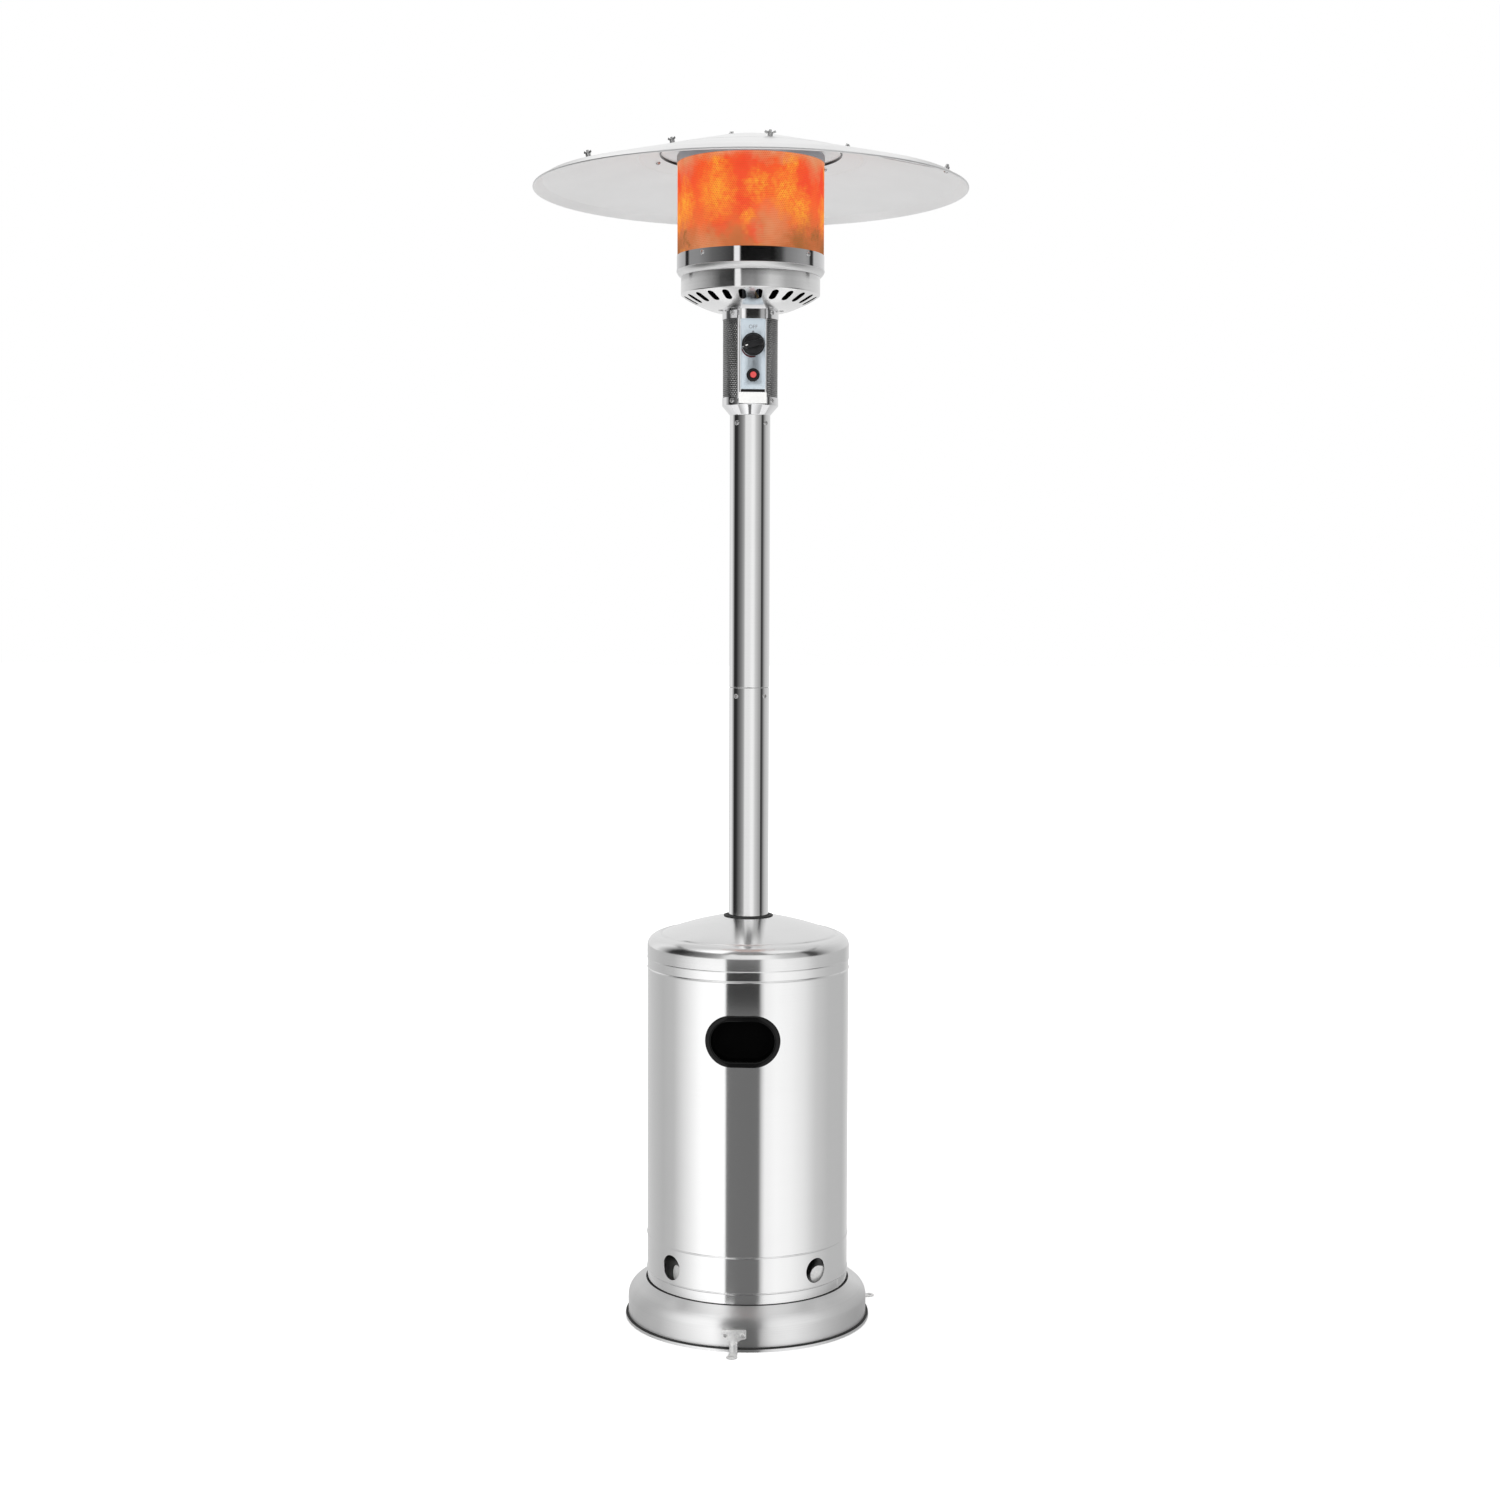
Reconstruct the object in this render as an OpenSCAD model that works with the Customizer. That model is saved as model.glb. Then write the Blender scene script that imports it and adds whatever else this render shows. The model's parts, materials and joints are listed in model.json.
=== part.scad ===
// Gas patio heater: round base, lift-up tank housing, post, control neck, burner head and reflector.
// Millimetres, +Z up, origin on the ground under the post, front of the heater towards -Y.

/* [Turns] */
// Turn of the head, neck and post about the upright axis
head_turn = 5; // [-30:1:30]
// Turn of the tank housing about the upright axis
housing_turn = -3; // [-15:1:15]
// Turn of the ground anchors about the upright axis
anchor_turn = -6; // [-30:1:30]

/* [Clearances] */
// Gap between sheets and parts that are fastened together
fit = 0.1; // [0.05:0.05:0.2]
// Gap between a moving piece and the seat it rests on
seat_gap = 0.3; // [0.2:0.1:0.5]
// Radial gap of a turning or sliding fit
running_gap = 0.05; // [0.03:0.01:0.08]
// Radial gap of a screw in its hole
screw_gap = 0.2; // [0.1:0.05:0.4]

/* [Base] */
// Outer radius of the upright wall of the base
base_r = 228.5; // [222:0.5:240]
// Height of the top of the upright wall
base_wall_h = 43; // [38:1:46]
// Radius of the shoulder above the wall
base_shoulder = 25; // [15:1:28]
// Height of the rim around the tank housing
base_rim_h = 75; // [72:1:85]
// Depth of the recess that the tank and the housing stand in
base_recess = 7; // [4:0.5:9]
// Gap between the rim and the housing wall
base_rim_gap = 3.8; // [2:0.1:6]
// Angle that the shoulder turns through before the straight flare
shoulder_sweep = 50; // [40:1:60]
// Width of the flat fold along the rim
rim_land = 3.2; // [3:0.1:6]
// Sheet thickness of the base pan
base_sheet = 1.2; // [0.8:0.1:2]
// Thickness of the plate that closes the base underneath
base_plate_t = 2; // [1.5:0.1:4]

/* [Edge trim] */
// Height of the black edge trim
trim_h = 9; // [7:0.5:14]
// How far the trim stands out from the wall
trim_w = 5.5; // [4:0.5:8]
// Thickness of the trim under the base plate
trim_floor = 4; // [3:0.5:6]
// How far the trim reaches in under the base plate
trim_lip = 14; // [8:1:24]

/* [Ground anchors] */
// Width of the plate that is screwed to the base wall
anchor_plate_w = 45; // [36:1:56]
// Height of that plate
anchor_plate_h = 20; // [16:1:22]
// Height of the lower edge of that plate above the ground
anchor_plate_z = 21; // [19:0.5:22]
// Width of the tongue that runs down to the eye
anchor_tongue_w = 14; // [10:1:18]
// Sheet thickness of the anchors
anchor_t = 2; // [1.5:0.1:3]
// Outer radius of the eye
anchor_eye_r = 10; // [8:0.5:12]
// Radius of the hole in the eye
anchor_hole_r = 4.5; // [3:0.5:5]
// Distance of the eye's hole from the base wall
anchor_reach = 35.5; // [30:0.5:44]

/* [Tank housing] */
// Outer radius of the housing wall
housing_r = 192.5; // [186:0.5:194]
// Sheet thickness of the housing wall
housing_sheet = 1; // [0.8:0.1:1.5]
// Height of the wall from its lower edge to the shoulder
housing_h = 647.7; // [640:0.5:670]
// Depth of the rolled beads
bead_d = 0.9; // [0.5:0.1:2]
// Height of the rolled beads
bead_h = 5; // [4:0.5:10]
// Height of the lowest bead above the lower edge
bead_low = 27.5; // [15:0.5:28]
// Height of the second bead above the lower edge
bead_second = 95; // [90:0.5:110]
// Depth of the upper bead below the shoulder
bead_upper = 21; // [18:0.5:26]
// Depth of the bead under it below the shoulder
bead_under = 39.5; // [36:0.5:50]
// Number of round vent holes
vent_count = 4; // [2:1:6]
// Radius of the vent holes
vent_r = 23.5; // [15:0.5:25]
// Height of the vent holes above the lower edge
vent_h = 58; // [56:0.5:62]

/* [Housing cap] */
// Sheet thickness of the spun cap
cap_sheet = 1; // [0.8:0.1:1.5]
// How far the cap's skirt runs down over the wall
cap_lap = 10; // [6:0.5:14]
// Width of the shoulder, from the cap's edge to the crease
cap_shoulder_w = 22.1; // [16:0.1:34]
// Height of the crease above the shoulder
cap_crease_h = 22; // [16:0.5:28]
// Height of the cone's top edge above the shoulder
cap_top_h = 58; // [50:0.5:66]

/* [Post grommet] */
// Radial gap between the grommet and the post
grommet_gap = 4; // [3:0.1:5]
// Radial width of the grommet
grommet_w = 6; // [5:0.5:8]
// Height of the grommet above and below the cap sheet
grommet_h = 4; // [3:0.5:6]

/* [Handle] */
// Height of the handle's middle above the housing's lower edge
handle_h = 498.7; // [460:0.5:530]
// Width of the hand opening
handle_w = 118; // [100:1:130]
// Height of the hand opening
handle_open_h = 75; // [60:1:85]
// Width of the bezel around the opening
bezel_w = 10.5; // [8:0.5:14]
// Thickness of the bezel in front of the wall
bezel_t = 3.5; // [2:0.5:5]
// Wall thickness of the hand pocket
pocket_wall = 2.5; // [2:0.5:4]
// Depth of the hand pocket behind the wall
pocket_d = 28; // [20:1:30]

/* [Support legs] */
// Width of the flat bar
leg_w = 30; // [20:1:40]
// Thickness of the flat bar
leg_t = 4; // [3:0.5:5]
// Gap between the legs and the housing wall
leg_gap = 4.5; // [3.5:0.5:8]
// Turn of the two front legs away from the front
leg_angle = 70; // [65:1:75]
// Length of the foot on the base
leg_foot = 30; // [24:1:36]
// Depth below the housing's shoulder at which the legs bend in towards the post
leg_bend_drop = 76; // [66:1:96]
// Depth below the housing's shoulder at which the legs meet the post
leg_tab_drop = 21; // [16:1:26]
// Length of the tab along the post
leg_tab_l = 45; // [40:1:48]

/* [Post] */
// Outer radius of the post
post_r = 38; // [34:0.5:40]
// Wall thickness of the post tubes
post_wall = 1.6; // [1.2:0.1:2.5]
// Depth of the post's lower end below the housing's shoulder
post_foot_drop = 36; // [30:1:44]
// Length of the lower tube
lower_post_l = 529; // [400:1:640]
// Length of the upper tube that shows
upper_post_l = 511.5; // [400:0.5:640]
// Length of the swaged end that slides into the lower tube
swage_l = 60; // [40:1:80]
// Distance of the tube screws from the joint above them
post_screw_drop = 15.5; // [12:0.5:20]

/* [Neck] */
// Outer radius of the neck rings
neck_r = 52.7; // [50:0.1:56]
// Sheet thickness of the neck parts
neck_sheet = 1.2; // [0.8:0.1:1.5]
// Height of the cone between post and neck
neck_cone_h = 17.5; // [12:0.5:24]
// Height of the lower ring
ring_h = 15; // [12:0.5:20]
// Height of the screen that shows between the rings
screen_h = 140; // [136:0.5:160]
// Height of the upper ring
top_ring_h = 14.2; // [12:0.1:18]
// How far the screen runs into each ring
screen_lap = 9; // [6:0.5:10]
// Length of the spigot inside the post
spigot_l = 30; // [24:1:40]
// Reach of the upper ring's flange inside the bowl
flange_w = 13; // [10:0.5:16]
// Gap between the valve bonnet and the sides of the screen's window
window_gap = 4; // [2:0.5:6]

/* [Control panel] */
// How far the panel channel's face stands out from the neck
panel_out = 4.3; // [3.3:0.1:7.3]
// Width of the channel's face
panel_w = 50; // [48:0.5:54]
// How far each side of the channel spreads towards the neck
panel_splay = 4; // [3:0.5:6]
// Sheet thickness of the channel
panel_sheet = 1.2; // [0.8:0.1:1.5]
// Distance between the control plate and the edges of the channel's face
plate_inset = 1.75; // [1:0.05:3]
// Distance of the control plate's upper edge below the bowl
plate_top_gap = 12.2; // [8:0.1:18]
// Height of the control plate's lower edge above the neck ring's base
plate_z = 27; // [26:0.5:30]
// Thickness of the control plate
plate_t = 1.2; // [0.8:0.1:2]
// Width of the raised border on the control plate
plate_border = 2; // [1:0.5:3]
// Height of that border
plate_rise = 0.8; // [0.4:0.1:1.5]
// Height of the slot under the plate
slot_h = 5; // [3:0.5:6]

/* [Knob and valve] */
// Distance of the knob's axis below the plate's upper edge
knob_drop = 48; // [45:0.5:51]
// Radius of the knob's skirt
knob_r = 21.3; // [18:0.1:22]
// Thickness of the skirt
knob_skirt = 4; // [3:0.5:6]
// Radius of the knob's crown
knob_crown_r = 17.5; // [14:0.5:18]
// Height of the crown above the skirt
knob_crown_h = 6; // [4:0.5:9]
// Width of the grip bar
knob_bar_w = 9; // [6:0.5:12]
// Height of the grip bar above the crown
knob_bar_h = 9; // [6:0.5:14]
// Gap between the skirt and the plate, which the push takes up
knob_gap = 3.8; // [3.6:0.1:6]
// Turn of the pointer from OFF at the resting pose
knob_rest = 105; // [0:1:180]
// Radius of the valve stem
stem_r = 3; // [2.5:0.1:4]
// Distance of the stem's driving flat from its axis
stem_flat = 2.1; // [1.6:0.1:2.4]
// Radial gap of the stem in the panel and the plate
stem_way = 3; // [2:0.5:4]
// Distance of the stem's inner end from the plug's inner end
stem_back = 6; // [3:0.5:10]
// Radius of the valve plug
plug_r = 9; // [8:0.1:11]
// Length of the valve plug
plug_l = 24; // [20:0.5:28]
// Width of the valve body
valve_w = 34; // [30:0.5:38]
// Height of the valve body
valve_h = 40; // [34:0.5:44]
// Distance of the valve body's front face behind the panel's face
valve_back = 11; // [10.5:0.5:13]
// Depth of the valve body
valve_depth = 40; // [36:0.5:44]
// Radius of the valve bonnet
bonnet_r = 12; // [10.5:0.5:14]
// Radius of the thread on the gas inlet
inlet_r = 6.5; // [5:0.5:8]
// Length of the gas inlet fitting
inlet_l = 26; // [18:0.5:30]
// Width of the inlet's hexagon around its thread
inlet_hex_w = 2; // [1.5:0.5:3]
// Height of the inlet's hexagon
inlet_hex_h = 10.4; // [6:0.1:14]
// Wall between the gas ways and the valve body's faces
valve_wall = 3; // [2:0.5:4]
// Bore of the gas ways
gas_bore_r = 2.5; // [1.5:0.1:3]
// Width of the tilt switch
switch_w = 13; // [10:0.5:14]
// Depth of the tilt switch
switch_depth = 18; // [14:0.5:20]
// Height of the tilt switch
switch_h = 24; // [18:0.5:30]
// Distance of the tilt switch behind the valve body's front face
switch_back = 12; // [10:0.5:16]

/* [Igniter] */
// Height of the igniter's axis above the plate's lower edge
igniter_rise = 26; // [24:0.5:29]
// Radius of the igniter's bezel
igniter_bezel_r = 12.2; // [10:0.1:13]
// Thickness of that bezel
igniter_bezel_t = 5; // [3:0.5:7]
// Radius of the igniter's body
igniter_r = 9.5; // [8:0.1:10]
// Length of the body behind the plate
igniter_l = 27; // [20:0.5:30]
// Radius of the red button
button_r = 5.85; // [4:0.05:6.5]
// Length of the button
button_l = 16; // [14:0.5:20]
// How far the button stands out of its bezel
button_out = 4; // [3.7:0.1:6]
// Room behind the button for its spring
button_room = 6; // [5:0.5:8]
// Width of the igniter's nut around its thread
igniter_nut_w = 4; // [3:0.5:5]
// Height of the igniter's nut
igniter_nut_h = 6; // [4:0.5:8]

/* [Burner head] */
// Outer radius of the bowl's upright band
bowl_r = 129.4; // [124:0.1:131]
// Height of the bowl up to the upper band
bowl_h = 68.8; // [60:0.1:80]
// Height of the bowl's upright band
bowl_band_h = 32; // [24:0.5:36]
// Sheet thickness of the bowl
bowl_sheet = 1.2; // [0.8:0.1:1.5]
// Number of air slots
slot_count = 24; // [12:1:26]
// Width of the air slots
air_slot_w = 12; // [8:0.5:13]
// Length of the air slots
air_slot_l = 26; // [18:0.5:30]
// Distance between the air slots and the bowl's upright band
air_slot_edge = 5.4; // [4.4:0.1:11]
// How far the upper band stands out from the bowl
band_step = 8.8; // [6.6:0.1:12.6]
// Height of the upper band
band_h = 40; // [30:0.5:48]
// Height of the lip at the foot of the upper band
band_lip_h = 9; // [6:0.5:12]
// How far the lip stands out
band_lip = 1; // [0.6:0.1:2]
// Reach of the band's ledge under the bowl's upper edge
band_ledge = 7.2; // [5:0.1:10]
// Depth of the band screws below the band's upper edge
band_screw_drop = 8; // [6:0.5:12]
// Sheet thickness of the band, deck and emitter
band_sheet = 1; // [0.8:0.1:1.2]

/* [Burner] */
// Radius of the burner
burner_r = 72; // [60:1:78]
// Height of the burner
burner_h = 18; // [12:0.5:24]
// Height of the burner above the deck
burner_rise = 12; // [8:0.5:16]
// Wall of the burner
burner_wall = 2; // [1.5:0.1:3]
// Number of gas ports in the burner
port_count = 24; // [12:1:30]
// Radius of the gas ports
port_r = 2.5; // [1.5:0.1:3]
// Distance of the gas ports from the burner's edge
port_edge = 8; // [6:0.5:12]
// Outer radius of the mixer tube
mixer_r = 16; // [13:0.5:18]
// Wall of the mixer tube
mixer_wall = 1.5; // [1:0.1:2]
// Length of the mixer tube below the deck
mixer_l = 52; // [45:0.5:54]
// Width of the mixer tube's flange on the deck
mixer_flange_w = 8; // [5:0.5:12]
// Thickness of that flange
mixer_flange_t = 2; // [1:0.1:3]
// Outer radius of the gas pipe
pipe_r = 5; // [4:0.5:6]
// Radius of the orifice nozzle
orifice_r = 8; // [6:0.5:9]
// Height of the orifice nozzle
orifice_h = 14; // [10:0.5:18]
// How far the nozzle reaches into the mixer tube
orifice_in = 8; // [4:0.5:10]
// Height of the nozzle's hexagon
orifice_hex_h = 8.4; // [6:0.1:9]
// Radius of the nozzle's jet
jet_r = 0.8; // [0.5:0.1:1.2]
// Length of the jet
jet_l = 3.8; // [2:0.1:5]

/* [Emitter] */
// Height of the emitter that shows between band and cap
emitter_h = 170; // [150:1:190]
// Height of the emitter cap's skirt
emitter_cap_h = 16; // [12:0.5:18]

/* [Pilot] */
// Distance of the pilot from the upright axis
pilot_d = 92; // [88:0.5:98]
// Spacing of pilot, thermocouple and electrode
pilot_pitch = 16; // [14:0.5:18]
// Height of the pilot bracket above the deck
pilot_rise = 8; // [6:0.5:12]
// Radius of the pilot gas tube
pilot_tube_r = 2; // [1.5:0.1:2.5]
// Radius of the threaded shanks in the pilot bracket
pilot_shank_r = 3.5; // [3:0.1:4]
// Radius of the ways through the deck under them
pilot_way_r = 6; // [5:0.5:7]
// Depth of the pilot bracket
pilot_depth = 16; // [14:0.5:18]
// Sheet thickness of the pilot bracket
pilot_sheet = 1.5; // [1:0.1:2]
// Length of a shank above and below the bracket's plate
shank_l = 6; // [4:0.5:8]
// Radius of the pilot burner's hood
hood_r = 6; // [5.5:0.1:7]
// Height of the pilot burner's hood
hood_h = 14; // [10:0.5:18]
// Radius of the collars on the thermocouple and the electrode
collar_r = 5; // [4.5:0.1:6]
// Height of the thermocouple's collar
probe_collar_h = 4; // [3:0.5:6]
// Radius of the thermocouple's probe
probe_r = 1.8; // [1.5:0.1:2.5]
// Length of the thermocouple's probe
probe_l = 34; // [25:0.5:40]
// Height of the electrode's insulator
insulator_h = 10; // [6:0.5:14]
// Radius of the electrode's wire
spark_r = 1.2; // [1:0.1:1.5]
// Length of the electrode's wire
spark_l = 26; // [20:0.5:32]

/* [Reflector] */
// Outer radius of the reflector
refl_r = 406.5; // [380:0.5:420]
// Width of the slanted lip at its edge
refl_lip_w = 16; // [12:0.5:20]
// Drop of the slanted lip
refl_lip_drop = 12; // [8:0.5:16]
// Radius of the rolled edge
refl_roll_r = 2.2; // [1.5:0.1:3]
// Slope of the cone
refl_slope = 0.252; // [0.2:0.002:0.3]
// Radius of the flat middle of the hub
hub_flat_r = 52; // [50:0.5:60]
// Width of the rounded change from the flat middle to the cone
hub_knee = 28; // [20:0.5:48]
// Outer radius of the hub
hub_r = 205; // [200:0.5:220]
// How far the panels reach in under the hub
hub_lap = 35; // [31:0.5:45]
// Sheet thickness of hub and panels
refl_sheet = 0.9; // [0.7:0.1:1.2]
// Turn of the first seam away from the front
seam_turn = -52; // [-60:1:-45]
// Width of the seam laps, as an angle
lap_angle = 5; // [4:0.5:8]
// Distance of the hub screws from the hub's edge
hub_screw_in = 18; // [13:0.5:23]
// Distance of the rim screws from the cone's outer edge
rim_screw_in = 12.3; // [10:0.1:48]
// Distance of the studs from the upright axis
stud_pitch_r = 40; // [30:0.5:41]
// Turn of the first stud away from the front
stud_turn = -67; // [-80:1:-50]
// Height of the hub above the emitter cap
stud_gap = 29; // [20:0.5:40]

/* [Fasteners] */
// Shank radius of the sheet screws
screw_r = 2.4; // [2:0.1:3]
// Head radius of the sheet screws
screw_head_r = 4.5; // [4:0.1:5]
// Head height of the sheet screws
screw_head_h = 2.4; // [2:0.1:2.8]
// Shank length of the sheet screws
screw_l = 7; // [6:0.5:9]
// Shank radius of the bolts and studs
bolt_r = 3; // [2.5:0.1:3.5]
// Head radius of the bolts, across the corners
bolt_head_r = 6; // [5:0.1:7]
// Head height of the bolts
bolt_head_h = 4; // [3:0.1:5]
// How far a bolt reaches past what it holds
bolt_end = 3; // [2:0.5:5]
// Length of a wing nut's wings from its axis
wing_l = 11; // [8:0.5:13]
// Height of a wing nut
wing_h = 7; // [5:0.5:9]
// Wall of a wing nut's hub
wing_hub_w = 2.2; // [1.8:0.1:3]
// Thickness of its wings
wing_t = 1.6; // [1.2:0.1:2.4]
// Slant of its wings' ends
wing_slant = 2; // [1:0.5:3]
// How far the reflector's screws and studs stand past their wing nuts
screw_past = 4; // [1:0.5:6]

/* [Hidden] */
$fn = 96;

// A cut runs this far past the faces it opens
past = 1;

// Heights of the assembly, from the ground up
plate_top_z = trim_floor + base_plate_t;
floor_z = base_rim_h - base_recess;
housing_z = floor_z + seat_gap;
shoulder_z = housing_z + housing_h;
cap_top_z = shoulder_z + cap_top_h;
handle_z = housing_z + handle_h;
leg_bend_z = shoulder_z - leg_bend_drop;
leg_tab_z = shoulder_z - leg_tab_drop;
post_foot_z = shoulder_z - post_foot_drop;
post_seam_z = post_foot_z + lower_post_l;
post_top_z = post_seam_z + upper_post_l;
ring_z = post_top_z + neck_cone_h;
screen_z = ring_z + ring_h;
top_ring_z = screen_z + screen_h;
bowl_z = top_ring_z + top_ring_h;
band_z = bowl_z + bowl_h;
deck_z = band_z + band_sheet + fit;
deck_top_z = deck_z + band_sheet;
band_top_z = band_z + band_h;
emitter_cap_z = band_top_z + emitter_h;
emitter_top_z = emitter_cap_z + emitter_cap_h;
hub_z = emitter_top_z + stud_gap + refl_sheet;
plate_h = bowl_z - ring_z - plate_z - plate_top_gap;
knob_z = ring_z + plate_z + plate_h - knob_drop;
igniter_z = ring_z + plate_z + igniter_rise;

// Radii that follow from their neighbours
rim_r = housing_r + base_rim_gap;
cap_r = housing_r + fit + cap_sheet;
cap_crease_r = cap_r - cap_shoulder_w;
anchor_pitch_r = base_r + anchor_reach;
grommet_in_r = post_r + grommet_gap;
grommet_r = grommet_in_r + grommet_w;
cap_hole_r = grommet_in_r + grommet_w / 2;
leg_r = housing_r - housing_sheet - leg_gap;
post_in_r = post_r - post_wall;
swage_r = post_in_r - fit;
screen_r = neck_r - neck_sheet - fit;
flange_r = neck_r + flange_w;
band_r = bowl_r + band_step;
emitter_r = band_r - band_sheet - fit;
emitter_cap_r = emitter_r + fit + band_sheet;
panel_d = neck_r + panel_out;
panel_back_w = panel_w + 2 * panel_splay;
plate_w = panel_w - 2 * plate_inset;
plate_front = panel_d + plate_t;
valve_d = panel_d - valve_back;
screw_hole_r = screw_r + screw_gap;
bolt_hole_r = bolt_r + screw_gap;
cone_r = refl_r - refl_roll_r - refl_lip_w;
hub_cone_r = hub_flat_r + hub_knee;
panel_in_r = hub_r - hub_lap;
hub_screw_r = hub_r - hub_screw_in;
rim_screw_r = cone_r - rim_screw_in;
cone_tilt = atan(refl_slope);

// Unit normal on the left of the line from a to b
function left_of(a, b) = let (d = b - a) [-d[1], d[0]] / norm(d);

// A path moved to its left by t, with mitred corners
function beside(path, t) = [
    for (i = [0 : len(path) - 1])
        let (
            last = len(path) - 1,
            n_in = left_of(path[max(i - 1, 0)], path[max(i, 1)]),
            n_out = left_of(path[min(i, last - 1)], path[min(i + 1, last)])
        )
        path[i] + (n_in + n_out) * t / (1 + n_in * n_out)
];

// Outline of a sheet of thickness t on the left of a path
function sheet(path, t) =
    let (inner = beside(path, t))
    concat(path, [for (i = [len(path) - 1 : -1 : 0]) inner[i]]);

// Points of an arc about a centre
function arc(centre, r, from, to, steps) = [
    for (i = [0 : steps])
        let (a = from + (to - from) * i / steps)
        centre + r * [cos(a), sin(a)]
];

// Points of a rolled bead in an upright wall
function bead(r, z) = [[r, z - bead_h / 2], [r - bead_d, z - bead_h / 6],
    [r - bead_d, z + bead_h / 6], [r, z + bead_h / 2]];

// Height of the reflector's upper face at a radius, with a rounded change from flat to cone
function hub_round(r) = (r - hub_flat_r) * (r - hub_flat_r) / (2 * (hub_cone_r - hub_flat_r));
function refl_z(r) = hub_z - refl_slope * (
    r <= hub_flat_r ? 0 :
    r <= hub_cone_r ? hub_round(r) :
    hub_round(hub_cone_r) + r - hub_cone_r
);

// Three ground anchors and three reflector panels, evenly spaced
third = 360 / 3;

// Direction of the right front leg, the left front leg and the rear leg
leg_turns = [leg_angle, -leg_angle, 180];

// Directions of the reflector's seams, seam screws and hub screws
seam_turns = [for (i = [0 : 2]) seam_turn + i * third];
lap_turns = [for (a = seam_turns) a + lap_angle / 2];
mid_turns = [for (a = lap_turns) a + third / 2];
stud_turns = [for (i = [0 : 2]) stud_turn + i * third];

// Four directions between the front and the sides
corner_turns = [45, 135, 225, 315];

// Depth of a second sheet under the first, square to the cone and along the vertical
layer = refl_sheet + fit;
under_drop = layer / cos(cone_tilt);

module turned(a) { rotate([0, 0, a]) children(); }

module round_sheet(path, t) { rotate_extrude() polygon(sheet(path, t)); }

module ring(r_out, r_in, h) {
    difference() {
        cylinder(r = r_out, h = h);
        translate([0, 0, -past]) cylinder(r = r_in, h = h + 2 * past);
    }
}

// Places things on the front at a distance from the axis, outwards being their +Z
module facing(d, z) { translate([0, -d, z]) rotate([90, 0, 0]) children(); }

// Places things on the reflector's cone, square to its sheet and at a depth under the hub's face
module on_cone(r, depth) {
    translate([0, -r, refl_z(r)]) rotate([cone_tilt, 0, 0]) translate([0, 0, -depth]) children();
}

// Outline with two straight sides and round ends
module stadium(w, h) {
    square([w - h, h], center = true);
    for (x = [-1, 1])
        translate([x * (w - h) / 2, 0])
            circle(d = h);
}

module pan_screw(l) {
    cylinder(r = screw_head_r, h = screw_head_h);
    translate([0, 0, -l]) cylinder(r = screw_r, h = l + screw_head_h / 2);
}

module hex_bolt(l) {
    cylinder(r = bolt_head_r, h = bolt_head_h, $fn = 6);
    translate([0, 0, -l]) cylinder(r = bolt_r, h = l + bolt_head_h / 2);
}

module wing_nut(hole_r) {
    hub_w = hole_r + wing_hub_w;
    difference() {
        union() {
            cylinder(r = hub_w, h = wing_h);
            for (side = [0, 180])
                rotate([0, 0, side]) translate([hub_w / 2, 0, wing_h / 2]) rotate([90, 0, 0])
                    linear_extrude(height = wing_t, center = true)
                        polygon([[0, 0], [wing_l - hub_w / 2, wing_h / 2],
                            [wing_l - hub_w / 2 - wing_slant, wing_h], [0, wing_h / 2]]);
        }
        translate([0, 0, -past]) cylinder(r = hole_r, h = 2 * wing_h + 2 * past);
    }
}

// Base

module base_plate() {
    color("dimgray")
        translate([0, 0, trim_floor])
            cylinder(r = base_r - fit, h = base_plate_t, $fn = 180);
}

module base_pan() {
    flare_w = base_r - rim_r - rim_land;
    shoulder_r = min(base_shoulder, flare_w / (1 - cos(shoulder_sweep)));
    wall_to_rim = concat(
        [[base_r, plate_top_z]],
        arc([base_r - shoulder_r, base_wall_h], shoulder_r, 0, shoulder_sweep, 5),
        [[rim_r + rim_land, base_rim_h], [rim_r, base_rim_h], [rim_r, floor_z], [0, floor_z]]
    );
    color("silver")
        difference() {
            round_sheet(wall_to_rim, base_sheet);
            foot_bolt_holes();
            anchor_screw_holes();
        }
}

module base_edge_trim() {
    color([0.13, 0.13, 0.13])
        rotate_extrude($fn = 180)
            polygon([
                [base_r - trim_lip, 0], [base_r + trim_w, 0],
                [base_r + trim_w, trim_h - trim_w / 2], [base_r + trim_w / 2, trim_h],
                [base_r + fit, trim_h], [base_r + fit, trim_floor], [base_r - trim_lip, trim_floor]
            ]);
}

// Ground anchors

anchor_screw_x = anchor_plate_w / 2 - screw_head_r - 2;
anchor_screw_z = anchor_plate_z + anchor_plate_h / 2;

module at_anchor_screws(turn) {
    reach = asin(anchor_screw_x / (base_r + fit + anchor_t));
    for (side = [-1, 1])
        turned(turn + side * reach) facing(base_r + fit + anchor_t, anchor_screw_z) children();
}

function anchor_direction(i) = anchor_turn + i * third;

module anchor_screw_holes() {
    for (i = [0 : 2])
        at_anchor_screws(anchor_direction(i))
            translate([0, 0, -screw_l - past])
                cylinder(r = screw_hole_r, h = screw_l + 2 * past);
}

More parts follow.
